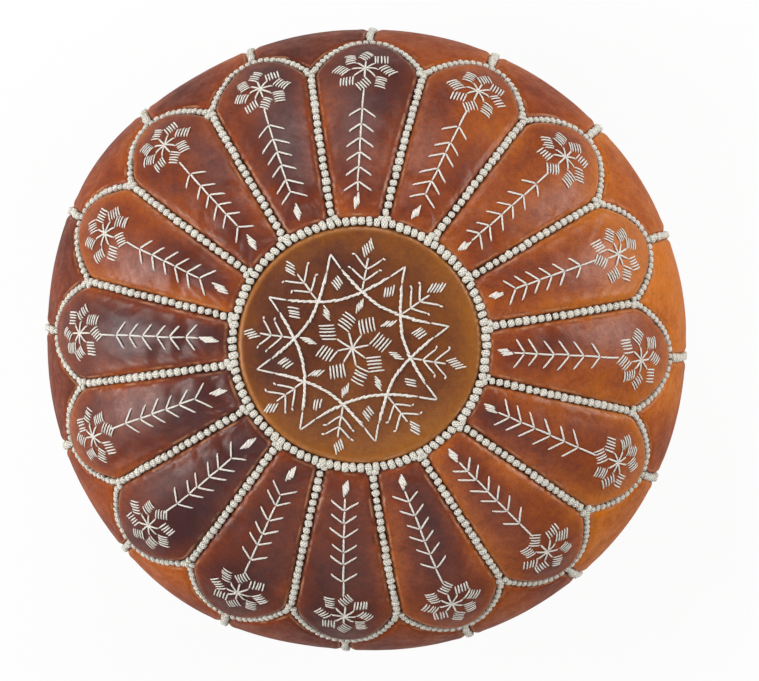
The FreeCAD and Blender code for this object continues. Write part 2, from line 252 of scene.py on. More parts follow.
def arch_slant(angle):
    """How much nearer that seam is than it looks along the meridian, because it runs aslant."""
    climb = PETAL_ARCH / HALF * math.pi / 2 * np.cos(arch_turn(angle))
    return 1 / np.hypot(1, climb / on_meridian(arch_reach(angle))[0])


print("a petal's tip is at", leather_place(np.array(0.0), TIP).round(4))

# %% [markdown]
# ## A panel's grid
# Every panel is cut from flat leather, so it starts as a flat grid whose corners we then move to their
# places. The grid is crowded towards its edges, where the leather rolls down into the seam and needs
# the finest faces. One function serves the petals and the side panels, because both lie between two
# seams that run down the meridian.

# %% Flat grids
def corners(mesh):
    """A mesh's corners as an array of x, y, z."""
    co = np.empty(len(mesh.vertices) * 3, np.float32)
    mesh.vertices.foreach_get("co", co)
    return co.reshape(-1, 3).astype(float)


def set_corners(mesh, places):
    mesh.vertices.foreach_set("co", np.asarray(places, np.float32).ravel())
    mesh.update()


def as_mesh(bm, name):
    """What a bmesh has made, as a mesh of this name."""
    mesh = bpy.data.meshes.new(name)
    bm.to_mesh(mesh)
    bm.free()
    return mesh


def flat_grid(name, cells):
    """A square grid of so many cells, and the column and row of each of its corners."""
    bm = bmesh.new()
    bmesh.ops.create_grid(bm, x_segments=cells[0], y_segments=cells[1], size=1)
    mesh = as_mesh(bm, name)
    column, row = np.rint((corners(mesh)[:, :2] + 1) / 2 * cells).astype(int).T
    return mesh, column, row


def crowd(share, amount):
    """Steps from -1 to 1 for shares from 0 to 1, crowded towards both ends."""
    return -(1 - amount) * (1 - 2 * share) - amount * np.cos(math.pi * share)


def panel_net(kind, number, cells):
    """Across (-1 to 1), along (0 to 1), angle and length for each corner of a panel's grid."""
    columns = -crowd(np.linspace(0, 1, cells[0] + 1), 0.6)  # runs clockwise, so faces look outwards
    rows = (1 + crowd(np.linspace(0, 1, cells[1] + 1), 0.35)) / 2
    across, along = np.meshgrid(columns, rows, indexing="ij")
    middle = PITCH * (number - (1.0 if kind == "petal" else 0.5))
    angle = middle + across * HALF
    start, end = arch_reach(angle), BASE_SEAM
    if kind == "petal":
        start, end = MEDALLION_REACH, start
    s = start + SEAM_GAP / 2 + along * (end - start - SEAM_GAP)
    angle = angle - across * SEAM_GAP / 2 / on_meridian(s)[0]
    return across, along, angle, s


def cut_puff(kind, across, along, s):
    """How far the measured model's own panel stands out between its seams."""
    swell = 1 - (2 * along - 1) ** 4
    height = PETAL_PUFF * on_meridian(s)[0] / on_meridian(JUNCTION)[0] if kind == "petal" else SIDE_PUFF
    return height * np.cos(math.pi / 2 * across) ** 2 * swell


PANELS = [(kind, n) for kind in ("petal", "side") for n in range(1, PETALS + 1)]
print(len(PANELS), "panels beside the medallion and the base")

# %% [markdown]
# ## Stuffing the panels
# The stuffing pushes the leather out between its seams, and no formula puts the soft dents and puckers
# where real leather has them. So we sew a coarse copy of all the panels, pin it along its seams, and
# let Blender's cloth swell under pressure. A little spare leather in each panel makes the folds. What
# comes out is kept as a movement of each corner, and the coarse copy is thrown away.

# %% The simulation
COARSE = {"petal": (18, 40), "side": (18, 48)}
CUT_PUFF = 0.7  # the share of the puff that is cut into the panels before they swell
SWELL_LIMIT = 0.0075  # no corner moves further than this
SWELL_STEPS = 20
HIDE_CLOTH = {
    "vertex_group_mass": "seams",
    "quality": 5,
    "mass": 0.4,
    "tension_stiffness": 25,
    "compression_stiffness": 8,
    "shear_stiffness": 10,
    "bending_stiffness": 5,
    "shrink_min": -0.015,  # spare leather
    "use_pressure": True,
    "uniform_pressure_force": 4,
}


def coarse_cover(dice):
    """One mesh of all the panels, its pinned corners, and each panel's slice of the corners."""
    bm = bmesh.new()
    spans = {}
    places = []
    pinned = []
    for kind, number in PANELS:
        mesh, column, row = flat_grid("blank", COARSE[kind])
        bm.from_mesh(mesh)
        across, along, angle, s = panel_net(kind, number, COARSE[kind])
        rough = 0.0004 * np.array([dice.uniform(-1, 1) for _ in across.flat]).reshape(across.shape)
        edge = (np.abs(across) > 0.999) | (along < 0.001) | (along > 0.999)
        lift = CUT_PUFF * cut_puff(kind, across, along, s) + np.where(edge, 0, rough)
        spans[kind, number] = (len(places), len(column), column, row)
        places.extend(leather_place(angle, s, lift)[column, row])
        pinned.extend(edge[column, row])
        bpy.data.meshes.remove(mesh)
    cover = as_mesh(bm, "coarse_cover")
    set_corners(cover, places)
    return cover, np.array(places), np.flatnonzero(pinned), spans


def stuffed(cover, pinned):
    """Where the cover's corners come to rest after its cloth has swelled."""
    obj = bpy.data.objects.new("coarse_cover", cover)
    scene.collection.objects.link(obj)
    obj.vertex_groups.new(name="seams").add(pinned.tolist(), 1.0, "REPLACE")
    cloth = obj.modifiers.new("stuffing", "CLOTH")
    for name, setting in HIDE_CLOTH.items():
        setattr(cloth.settings, name, setting)
    cloth.settings.effector_weights.gravity = 0
    cloth.point_cache.frame_start = 1
    cloth.point_cache.frame_end = SWELL_STEPS
    for step in range(SWELL_STEPS):
        scene.frame_set(step + 1)
    swollen = obj.evaluated_get(bpy.context.evaluated_depsgraph_get())
    places = corners(swollen.data)
    bpy.data.objects.remove(obj)
    scene.frame_set(1)
    return places


def swelling():
    cover, before, pinned, spans = coarse_cover(random.Random(3))
    moved = stuffed(cover, pinned) - before
    size = np.linalg.norm(moved, axis=1, keepdims=True)
    moved *= SWELL_LIMIT * np.tanh(size / SWELL_LIMIT) / np.maximum(size, 1e-9)
    print("the leather moved by up to", round(float(size.max()) * 1000, 1), "mm")
    fields = {}
    for panel, (first, count, column, row) in spans.items():
        field = np.zeros((column.max() + 1, row.max() + 1, 3))
        field[column, row] = moved[first : first + count]
        fields[panel] = field
    return fields


SWELLING = swelling()

# %% [markdown]
# ## Finishes, written as sums
# A finish on a hand-dyed hide is mostly arithmetic on noise: so much dye here, so much less by the seam.
# Blender does that with Math nodes, which are slow to read as a web. A small class wraps a socket, so
# that we can write the sums in Python and let each operator add its node.

# %% Two helpers for shaders
def sums(operation, turned_round=False):
    """An operator that adds this Math node."""

    def add_node(one, other):
        pair = (other, one) if turned_round else (one, other)
        return one.finish.node("Math", dict(enumerate(pair)), operation=operation)

    return add_node


class Value:
    """One output of a node, which can be used in sums."""

    def __init__(self, finish, node, output):
        self.finish = finish
        self.node = node
        self.output = output

    __add__ = __radd__ = sums("ADD")
    __sub__ = sums("SUBTRACT")
    __rsub__ = sums("SUBTRACT", turned_round=True)
    __mul__ = __rmul__ = sums("MULTIPLY")
    __pow__ = sums("POWER")

    def beside(self, output):
        """Another output of the same node."""
        return Value(self.finish, self.node, output)

    def maths(self, operation, *others, **settings):
        inputs = dict(enumerate((self, *others)))
        return self.finish.node("Math", inputs, operation=operation, **settings)

    def between(self, low, high):
        """0 below low, 1 above high, and smooth between them."""
        inputs = {"Value": self, "From Min": low, "From Max": high}
        return self.finish.node("MapRange", inputs, interpolation_type="SMOOTHSTEP")


def shade(code):
    """A colour as written for a screen, in the linear values that shaders use."""
    parts = [int(code[k : k + 2], 16) / 255 for k in (0, 2, 4)]
    return (*(p / 12.92 if p <= 0.04045 else ((p + 0.055) / 1.055) ** 2.4 for p in parts), 1.0)


class Finish:
    """A material or a world, and the one method that adds a node to it. Colours are written as codes."""

    def __init__(self, name, makers=bpy.data.materials):
        self.made = makers.new(name)
        self.made.use_nodes = True
        self.tree = self.made.node_tree
        self.tree.nodes.clear()

    def node(self, kind, inputs=None, output=0, stops=(), **settings):
        node = self.tree.nodes.new("ShaderNode" + kind)
        for name, setting in settings.items():
            setattr(node, name, setting)
        for place, code in stops[1:-1]:
            node.color_ramp.elements.new(place)
        for element, (place, code) in zip(node.color_ramp.elements if stops else (), stops):
            element.position = place
            element.color = shade(code)
        for name, value in (inputs or {}).items():
            if isinstance(value, Value):
                self.tree.links.new(value.node.outputs[value.output], node.inputs[name])
            else:
                node.inputs[name].default_value = shade(value) if isinstance(value, str) else value
        return Value(self, node, output)

    @cached_property
    def here(self):
        """Where a point is, in the piece's own coordinates."""
        return self.node("TexCoord", output=3)

    def mixed(self, share, a, b):
        """Colour a, turning to colour b as share goes from 0 to 1."""
        return self.node("Mix", {0: share, 6: a, 7: b}, output=2, data_type="RGBA")

    def noise(self, scale, detail, roughness, distortion=0.0):
        inputs = {"Vector": self.here, "Scale": scale, "Detail": detail, "Roughness": roughness}
        return self.node("TexNoise", {**inputs, "Distortion": distortion})

    def bump(self, height, strength, distance):
        return self.node("Bump", {"Strength": strength, "Distance": distance, "Height": height})

    def surface(self, **sockets):
        """The Principled shader with these sockets, as the material's surface."""
        sockets = {name.replace("_", " "): value for name, value in sockets.items()}
        self.node("OutputMaterial", {"Surface": self.node("BsdfPrincipled", sockets)})
        return self.made


print("orange-tan in linear light is", [round(c, 3) for c in shade("aa5a1e")])

# %% [markdown]
# ## Hand-dyed goatskin
# The tanner rubs dye into each skin by hand. It pools to a purple brown where the skin lay slack, and
# wears back to orange tan along the seams. Each corner of a panel therefore carries two numbers, how
# deep the dye is and how far the seam is, and the shader breaks their smooth edges with noise. From the
# seam's distance it also paints light and shade: a thin painted highlight on the ridge beside each seam
# and near-black painted shade in the seam's valley. The creases get darker painted shade. Goat grain is
# a fine pebble of about a millimetre, so it goes in the bump, not in the mesh.

# %% The leather finish
def goatskin(name, stops, matt, polish):
    finish = Finish(name)
    # The dye numbers also hold painted highlight on the medallion's rim and towards the arch of two petals.
    dye, seam = (finish.node("Attribute", output=2, attribute_name=name) for name in ("dye", "seam"))
    cloud = finish.noise(19, 4, 0.55)
    streak = finish.noise(75, 3, 0.6)
    mottle = finish.noise(260, 3, 0.65)
    speck = finish.noise(700, 2, 0.5)
    depth = dye + 0.52 * (cloud - 0.5) + 0.28 * (streak - 0.5)
    depth = depth + 0.32 * (mottle - 0.5) + 0.24 * (speck - 0.5)
    tint = finish.node("ValToRGB", {0: depth}, stops=stops)
    # Painted highlight: a thin pale line along the ridge beside each seam, where the streaks allow.
    painted_ridge_highlight = 1 - (seam - 0.0055).maths("ABSOLUTE").between(0.0002, 0.0014)
    tint = finish.mixed(painted_ridge_highlight * streak.between(0.42, 0.62) * 0.6, tint, "d09468")
    # Painted shade: near black in the seam's valley, round the knots.
    tint = finish.mixed((1 - seam.between(0.0026, 0.0046)) * 0.85, tint, "220f09")
    grain = {"Vector": finish.here, "Scale": 760.0, "Smoothness": 0.6}
    pebble = finish.node("TexVoronoi", grain, feature="SMOOTH_F1")
    pore = finish.noise(1900, 2, 0.5)
    wrinkle = (finish.noise(95, 5, 0.62, 0.8) - 0.5).maths("ABSOLUTE").between(0.0, 0.04)
    # Painted shade: darker brown along the creases.
    tint = finish.mixed((1 - wrinkle) * 0.22, tint, "451d10")
    height = 0.45 * pebble + 0.20 * pore + 0.30 * wrinkle
    rough = matt + 0.18 * streak.between(0.3, 0.7) + 0.10 * mottle.between(0.3, 0.7) + 0.08 * pebble
    return finish.surface(
        Base_Color=tint,
        Roughness=rough,
        Normal=finish.bump(height, 0.8, 0.0002),
        Coat_Weight=polish,
        Coat_Roughness=0.26,
        Specular_IOR_Level=0.15 + 0.6 * polish,
    )


TAN_TO_PLUM = (
    (0.00, "cb701c"), (0.25, "b0581a"), (0.45, "934218"),
    (0.65, "722f18"), (0.85, "57251d"), (1.00, "461e20"),
)
OLIVE_TO_UMBER = (
    (0.00, "a9661f"), (0.35, "93541b"), (0.60, "7a4019"), (0.80, "602e18"), (1.00, "49241a"),
)
ORANGE_TO_RUST = (
    (0.00, "da7716"), (0.30, "b25512"), (0.55, "903c14"), (0.80, "6b2911"), (1.00, "4a1e15"),
)
petal_leather = goatskin("petal_leather", TAN_TO_PLUM, 0.26, 0.26)
side_leather = goatskin("side_leather", ORANGE_TO_RUST, 0.34, 0.10)
medallion_leather = goatskin("medallion_leather", OLIVE_TO_UMBER, 0.28, 0.25)
base_leather = goatskin("base_leather", OLIVE_TO_UMBER, 0.40, 0.10)
print("four leathers from one recipe")

# %% [markdown]
# ## Knotted and twisted thread
# The seams are covered with thick cream cotton, worked into knots. Each knot is one small lump in the
# mesh and its crossing strands are drawn in the finish: a basket weave over the knot's own map, light
# on the strands and painted shade, near black, in the gaps. The embroidery thread is finer, and there the
# map shows the twist, with painted shade in its grooves and along both sides of each stitch.

# %% The thread finishes
def on_map(finish):
    """The two places on a thread's own map."""
    u = finish.node("SeparateXYZ", {0: finish.node("UVMap", uv_map="weave")})
    return u, u.beside(1)


def woven_height(finish, per_unit):
    """The height of a plain weave, from 0 in the gaps to 1 on the strands."""
    u, v = (place * per_unit for place in on_map(finish))
    even = (u.maths("FLOOR") + v.maths("FLOOR")).maths("FLOORED_MODULO", 2.0)
    u = 2 * u.maths("FRACT") - 1
    v = 2 * v.maths("FRACT") - 1
    warp = (1 - u * u) * (1 - 0.45 * v * v)
    weft = (1 - v * v) * (1 - 0.45 * u * u)
    return warp * even + weft * (1 - even)


def knot_thread(name, light, shade_between_strands, per_unit):
    finish = Finish(name)
    hand = finish.noise(240, 2, 0.5)
    height = woven_height(finish, per_unit) ** 0.6 + 0.15 * finish.noise(2600, 3, 0.6)
    # Painted shade in the gaps between the strands.
    tint = finish.mixed((height + 0.5 * (hand - 0.5)).between(0.24, 0.62), shade_between_strands, light)
    bump = finish.bump(height, 0.9, 0.0007)
    return finish.surface(Base_Color=tint, Roughness=0.82, Normal=bump, Sheen_Weight=0.15)


def twisted_thread(name, light, shade_between_strands):
    finish = Finish(name)
    around, along = on_map(finish)
    strand = ((around * 2 + along) * (2 * math.pi)).maths("SINE") * 0.5 + 0.5
    hand = finish.noise(150, 2, 0.5)
    height = strand + 0.2 * finish.noise(3000, 3, 0.6)
    # Painted shade in the grooves of the twist.
    tint = finish.mixed((height + 0.6 * (hand - 0.5)).between(-0.2, 0.9), shade_between_strands, light)
    # Painted shade: both sides of each stitch turn dark brown, where the thread meets the leather.
    clear_of_painted_side_shade = (around * (2 * math.pi)).maths("SINE").maths("ABSOLUTE").between(0.0, 0.55)
    tint = finish.mixed(clear_of_painted_side_shade, "7a6048", tint)
    bump = finish.bump(height, 0.7, 0.0003)
    return finish.surface(Base_Color=tint, Roughness=0.55, Normal=bump, Sheen_Weight=0.2)


# The second colour of each thread is painted shade between its strands.
braid_thread = knot_thread("braid_thread", "fffaec", "33271a", 2.1)
fine_thread = twisted_thread("fine_thread", "fefaf2", "dccfbf")
print("thick thread for the seams, fine thread for the ornament")

# %% [markdown]
# ## Putting a piece in the scene
# Every finished piece needs the same few things: its finish, smooth shading, the body it rides on, and
# the measured solid it stands for.

# %% Finishing a piece
def add_piece(mesh, material, stands_for=None, wall=0.0):
    piece = bpy.data.objects.new(mesh.name, mesh)
    scene.collection.objects.link(piece)
    mesh.materials.append(material)
    mesh.shade_smooth()
    if wall:
        thick = piece.modifiers.new("thickness of the hide", "SOLIDIFY")
        thick.thickness = wall
        thick.offset = -1
    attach(piece, "cover")
    if stands_for:
        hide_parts(stands_for)
    return piece


def write_numbers(mesh, **columns):
    """Numbers for each corner of a mesh, which its finish can read by these names."""
    for name, numbers in columns.items():
        layer = mesh.attributes.new(name, "FLOAT", "POINT")
        layer.data.foreach_set("value", np.asarray(numbers, np.float32).ravel())


print("a hide is", LEATHER * 1000, "mm thick")

# %% [markdown]
# ## Where leather meets a seam
# Sewing pulls the edge of a panel down, so each panel rolls over into a shallow valley, and the thread
# gathers it into small puckers at every knot. Tight corners throw a crease or two into the panel. These
# marks are smaller than the simulation's cells, so we add them afterwards along the same directions.

# %% Rolls, puckers and creases
ROLL_DEPTH = 0.0030
ROLL_WIDTH = 0.0040
KNOT_PITCH = 0.0066
SOFT_CORNER = 0.0012  # how round the lines of equal distance are where two seams meet


def rolled(distance):
    """The leather's dip into a seam, with the low ridge beside it."""
    ridge = 0.0005 * bell(distance, 0.0085, 0.0035)
    return ridge - ROLL_DEPTH * bell(distance, 0, ROLL_WIDTH)


def puckered(distance, run, seed):
    """Small gathers where the knots pull, for distances from a seam and runs along it."""
    uneven = 0.55 + 0.45 * np.sin(run * 170 + seed) * np.sin(run * 61 + 2 * seed)
    gather = np.cos(2 * math.pi * run / KNOT_PITCH + seed)
    return 0.00036 * uneven * gather * bell(distance, 0.0042, 0.0028)


def creased(x, y, start, heading, length, depth, width):
    """A crease that starts at a place, runs on a heading and fades out."""
    across = (x - start[0]) * -math.sin(heading) + (y - start[1]) * math.cos(heading)
    run = ((x - start[0]) * math.cos(heading) + (y - start[1]) * math.sin(heading)) / length
    across = across - 0.12 * length * run**2
    fade = held(1 - run) ** 1.5 * held(run * 8 + 1)
    fold = bell(across, 0, width) - 0.6 * bell(across, 1.8 * width, width)
    return -depth * fade * fold


def finer(field, cells):
    """A field on a coarse grid carried smoothly to a finer one, along columns and then rows."""
    for axis in (0, 1):
        field = np.moveaxis(field, axis, 0)
        last = len(field) - 1
        place = np.linspace(0, last, cells[axis] + 1)
        first = np.minimum(place.astype(int), last - 1)
        t = (place - first).reshape(-1, *[1] * (field.ndim - 1))
        a, b, c, d = (field[np.clip(first + k, 0, last)] for k in (-1, 0, 1, 2))
        field = b + t / 2 * (c - a + t * (2 * a - 5 * b + 4 * c - d + t * (3 * (b - c) + d - a)))
        field = np.moveaxis(field, 0, axis)
    return field


print("a roll dips by", ROLL_DEPTH * 1000, "mm")

# %% [markdown]
# ## Sewing the panels
# Now each panel gets its fine grid: the smooth place, the swelling from the simulation, and the seam's
# own marks. The depth of its dye is written beside them. The skins came from different parts of the
# vat, so each petal and each side has its own depth, darker or lighter at its two ends. Towards the
# arch of two petals the depth is also lowered for painted highlight, where their sheen lies.

# %% Depth of dye, from 0 for orange tan to 1 for purple brown
# Partly painted highlight: the arch ends of petals 2 and 16, lighter than orange tan itself, are lightened
# where those petals catch the sheen.
PETAL_DYE = (  # at the medallion's end and at the arch, round from +X
    (0.36, 0.15), (0.40, -0.14), (0.33, 0.12), (0.41, 0.36), (0.43, 0.71), (0.62, 0.52),
    (0.53, 0.39), (0.44, 0.24), (0.69, 0.51), (0.83, 0.25), (0.76, 0.60), (0.62, 0.60),
    (0.60, 0.62), (0.50, 0.38), (0.36, 0.24), (0.52, -0.10),
)
SIDE_DYE = (
    -0.18, 0.11, 0.30, 0.33, 0.64, 0.42, 0.45, 0.60, 0.50, 0.39, 0.25, 0.55, 0.41, 0.34, 0.02, 0.15,
)
FINE = {"petal": (48, 112), "side": (44, 120)}
PUFF_SHARE = {"petal": CUT_PUFF, "side": 0.1}  # of the cut puff, where the cloth swells the panel
SWELL_SHARE = {"petal": 1.0, "side": 0.6}  # of the cloth's movement that is kept


def panel_dye(kind, number, along, seam, to_arch, angle, s):
    pool = 0.34 * held(seam / 0.020) ** 0.7 - 0.18
    drift = 0.10 * waves(21, angle, s, 5, 24)
    if kind == "side":
        under_arch = 0.24 * np.exp(-to_arch / 0.020) - 0.05
        return SIDE_DYE[number - 1] + 0.6 * pool + drift + under_arch + 0.22 * along**2
    inner, outer = PETAL_DYE[number - 1]
    return inner + (outer - inner) * along**1.5 + pool + drift


def panel_piece(kind, number):
    """One petal or side panel, from its flat grid to its place on the pouf."""
    name = "%s_%02d" % ("petal" if kind == "petal" else "side_panel", number)
    mesh, column, row = flat_grid(name + "_hide", FINE[kind])
    across, along, angle, s = panel_net(kind, number, FINE[kind])
    r = on_meridian(s)[0]
    dice = random.Random(100 * number + len(kind))

    to_side = (1 - np.abs(across)) * HALF * r
    to_arch = np.abs(arch_reach(angle) - s) * arch_slant(angle)
    to_end = s - MEDALLION_REACH if kind == "petal" else BASE_SEAM - s
    edges = np.stack([to_side, to_arch, to_end])
    seam = np.maximum(-np.log(np.exp(-edges / SOFT_CORNER).sum(0)) * SOFT_CORNER, 0)

    puff_share = PUFF_SHARE[kind] if (kind, number) in SWELLING else 1.0
    lift = puff_share * cut_puff(kind, across, along, s)
    lift = lift + rolled(seam) * np.where(to_end < 0.012, 0.8, 1.0)
    lift = lift + puckered(to_side, s, number) + puckered(to_arch, angle * r, number)
    y = across * HALF * r
    corner_width = HALF * (MEDALLION_REACH if kind == "petal" else on_meridian(TIP)[0])
    for _ in range(dice.randint(2, 4)):
        side = dice.choice((-1, 1))
        start = (s.min() + dice.uniform(0.003, 0.02), side * corner_width * dice.uniform(0.55, 0.95))
        heading = -side * dice.uniform(0.1, 1.0)
        size = dice.uniform(0.5, 1.0)
        lift = lift + creased(s, y, start, heading, 0.045 * size, 0.0007 * size, 0.0022)
    for _ in range(dice.randint(1, 3)):
        side = dice.choice((-1, 1))
        start = (s.max() - dice.uniform(0.02, 0.07), side * 0.040 * dice.uniform(0.5, 1.0))
        heading = math.pi + side * dice.uniform(0.2, 1.2)
        lift = lift + creased(s, y, start, heading, 0.050, 0.0006, 0.0030)

    places = leather_place(angle, s, lift)
    if (kind, number) in SWELLING:
        places = places + finer(SWELLING[kind, number], FINE[kind]) * SWELL_SHARE[kind]
    dye = panel_dye(kind, number, along, seam, to_arch, angle, s)
    set_corners(mesh, places[column, row])
    write_numbers(mesh, seam=seam[column, row], dye=dye[column, row])
    leather = petal_leather if kind == "petal" else side_leather
    return add_piece(mesh, leather, name, LEATHER)


hides = {panel: panel_piece(*panel) for panel in PANELS}
print(len(hides), "hides, the first with", len(hides["petal", 1].data.polygons), "faces")

# %% [markdown]
# ## The medallion
# The disc in the middle is one piece of olive-tan leather. A row of points spun round the axis makes its
# mesh, closed at the middle. Its edge stands up a little as a rolled rim inside the ring of knots.

# %% The medallion's leather
RINGS = 56  # of faces in the medallion
DOUBLES = 0.00003  # corners nearer to each other than this are one corner


def spun(name, profile, steps, narrowing=1.0):
    """A row of (distance, height) points spun round the axis, closed where it meets the axis."""
    bm = bmesh.new()
    row = [bm.verts.new((x, 0, z)) for x, z in profile]
    edges = [bm.edges.new(pair) for pair in zip(row, row[1:])]
    bmesh.ops.spin(
        bm, geom=row + edges, axis=(0, 0, 1), cent=(0, 0, 0), angle=2 * math.pi, steps=steps, use_merge=True
    )
    bmesh.ops.remove_doubles(bm, verts=bm.verts, dist=DOUBLES)
    bmesh.ops.scale(bm, vec=(1, narrowing, 1), verts=bm.verts)
    bmesh.ops.recalc_face_normals(bm, faces=bm.faces)
    return as_mesh(bm, name)


def medallion_piece():
    reach = MEDALLION_REACH - SEAM_GAP / 2
    mesh = spun("medallion_hide", [(reach * k / RINGS, 0) for k in range(RINGS + 1)], 3 * RINGS)
    if mesh.polygons[0].normal.z < 0:
        mesh.flip_normals()
    x, y = corners(mesh)[:, :2].T
    s, angle = np.hypot(x, y), np.arctan2(y, x)
    seam = reach - s
    lift = MEDALLION_PUFF * (1 - (s / reach) ** 2) ** 2 + rolled(seam) + puckered(seam, angle * reach, 5)
    lift = lift + 0.0006 * bell(seam, 0.0068, 0.0022)
    lift = lift + 0.0007 * held(seam / 0.02) * waves(31, 3 * x / 0.1, 0.3 * y, 1, 4)
    set_corners(mesh, leather_place(angle, s, lift))
    dark_side = (y - x) / reach / 2
    edge = held((s / reach - 0.70) / 0.25)
    # Painted highlight: a light line on the rolled rim, strongest on the left, the side that faces the
    # strong left lamps.
    painted_rim_highlight = 0.30 * (1.4 - np.cos(angle)) * bell(seam, 0.0062, 0.0018)
    dye = 0.66 - 0.34 * edge + 0.34 * dark_side + 0.07 * waves(32, angle, s, 1, 9) - painted_rim_highlight
    write_numbers(mesh, seam=seam, dye=dye)
    return add_piece(mesh, medallion_leather, "medallion", LEATHER)


hides["medallion"] = medallion_piece()
print("the medallion has", len(hides["medallion"].data.polygons), "faces")

# %% [markdown]
# ## Knots over the seams
# A row of knots hides every seam. One knot is a block of a few dozen faces, rounded towards a ball, and
# each copy is turned, tipped and sized a little: no two are quite alike. All the knots of one kind of
# seam are a single mesh, because nobody will ever pick them off one by one.

# %% One knot, and many of them
KNOT_FULLNESS = 3.6  # 2 would be a ball
KNOT_LENGTH = 0.87  # the share of its pitch that a knot fills
KNOT_HEIGHT = 0.84  # of its width


def knot_shape():
    """A rounded block of 54 faces, one unit from its middle to each side, with its own map."""
    bm = bmesh.new()
    bmesh.ops.create_cube(bm, size=2)
    bmesh.ops.subdivide_edges(bm, edges=bm.edges, cuts=2, use_grid_fill=True)
    for corner in bm.verts:
        corner.co /= sum(abs(c) ** KNOT_FULLNESS for c in corner.co) ** (1 / KNOT_FULLNESS)
    weave = bm.loops.layers.uv.new("weave")
    for face in bm.faces:
        for loop in face.loops:
            x, y, z = loop.vert.co
            loop[weave].uv = (math.atan2(x, z + 0.35), math.atan2(y, z + 0.35))
    return as_mesh(bm, "knot")


KNOT = knot_shape()


def copies(name, shape, places, changed_map=None):
    """One mesh of copies of a small shape, given each copy's corners, with its map changed."""
    bm = bmesh.new()
    for _ in places:
        bm.from_mesh(shape)
    mesh = as_mesh(bm, name)
    set_corners(mesh, places.reshape(-1, 3))
    if changed_map:
        weave = mesh.uv_layers["weave"].data
        uv = np.empty(len(weave) * 2, np.float32)
        weave.foreach_get("uv", uv)
        u, v = changed_map(*np.moveaxis(uv.reshape(len(places), -1, 2), -1, 0))
        weave.foreach_set("uv", np.stack([u, v], -1).astype(np.float32).ravel())
    return mesh


def knotted_seam(name, spots, stands_for, seed, unlike=0.07):
    """Knots at spots (place, out, ahead, width, pitch, sink), each a little different."""
    dice = np.random.default_rng(seed)
    place, out, ahead, width, pitch, sink = (np.array(column) for column in zip(*spots))
    count = len(place)
    out, ahead = unit(out), unit(ahead)
    out = unit(out + 0.10 * dice.normal(size=(count, 3)))
    ahead = unit(ahead - out * (ahead * out).sum(1, keepdims=True))
    aside = np.cross(out, ahead)
    turn = dice.normal(0.26, 0.14, (count, 1))
    ahead, aside = ahead * np.cos(turn) + aside * np.sin(turn), aside * np.cos(turn) - ahead * np.sin(turn)
    size = dice.normal(1, unlike, (count, 3))
    across, along, up = size.T
    half = np.stack([width * across, pitch * along * KNOT_LENGTH, width * up * KNOT_HEIGHT], 1) / 2
    place = place + aside * dice.normal(0, 0.003 * unlike, (count, 1)) - out * sink[:, None]
    local = corners(KNOT)[None] * half[:, None]
    moved = place[:, None] + (
        local[..., :1] * aside[:, None] + local[..., 1:2] * ahead[:, None] + local[..., 2:] * out[:, None]
    )
    lean = dice.normal(math.pi / 4, 0.25, (count, 1)) + math.pi / 2 * dice.integers(0, 2, (count, 1))
    shift_u, shift_v = dice.uniform(0, 5, (count, 1)), dice.uniform(0, 5, (count, 1))

    def leaning(u, v):
        return u * np.cos(lean) - v * np.sin(lean) + shift_u, u * np.sin(lean) + v * np.cos(lean) + shift_v

    add_piece(copies(name, KNOT, moved, leaning), braid_thread, stands_for)
    print(name, "has", count, "knots")


# %% [markdown]
# ## Laying the rows
# A row of knots follows its seam at an even pitch, measured along the leather. Where rows meet, a few
# larger knots sit in a heap, as they do where the maker fastens off one thread and starts another.

# %% The five kinds of seam
def seam_row(angles, lengths, width, pitch, sink=0.0, closed=False):
    """Spots at an even pitch along a seam given by many close (angle, length) places."""
    line = leather_place(angles, lengths)
    run = np.concatenate([[0], np.cumsum(np.linalg.norm(np.diff(line, axis=0), axis=1))])
    count = round(run[-1] / pitch)
    step = run[-1] / count
    marks = (np.arange(count) + (0 if closed else 0.5)) * step

    def at(marks):
        return np.stack([np.interp(marks, run, column) for column in line.T], -1)

    ahead = at(marks + step / 4) - at(marks - step / 4)
    out = leather_normal(np.interp(marks, run, angles), np.interp(marks, run, lengths))
    return [(*ways, width, step, sink) for ways in zip(at(marks), out, ahead)]


def heap(angle, s, width, count, spread, seed):
    """A few larger knots fastened off round one place."""
    dice = random.Random(seed)
    spots = []
    for k in range(count):
        way = 2 * math.pi * (k + dice.uniform(-0.2, 0.2)) / count
        a = np.array(angle + spread * math.cos(way) / on_meridian(s)[0])
        place = leather_place(a, s + spread * math.sin(way), 0.0002)
        ahead = leather_place(a, s + spread * math.sin(way) + 0.002) - place
        size = width * dice.uniform(0.85, 1.1)
        spots.append((place, leather_normal(a, s), ahead, size, size * 0.9, -0.0003))
    return spots


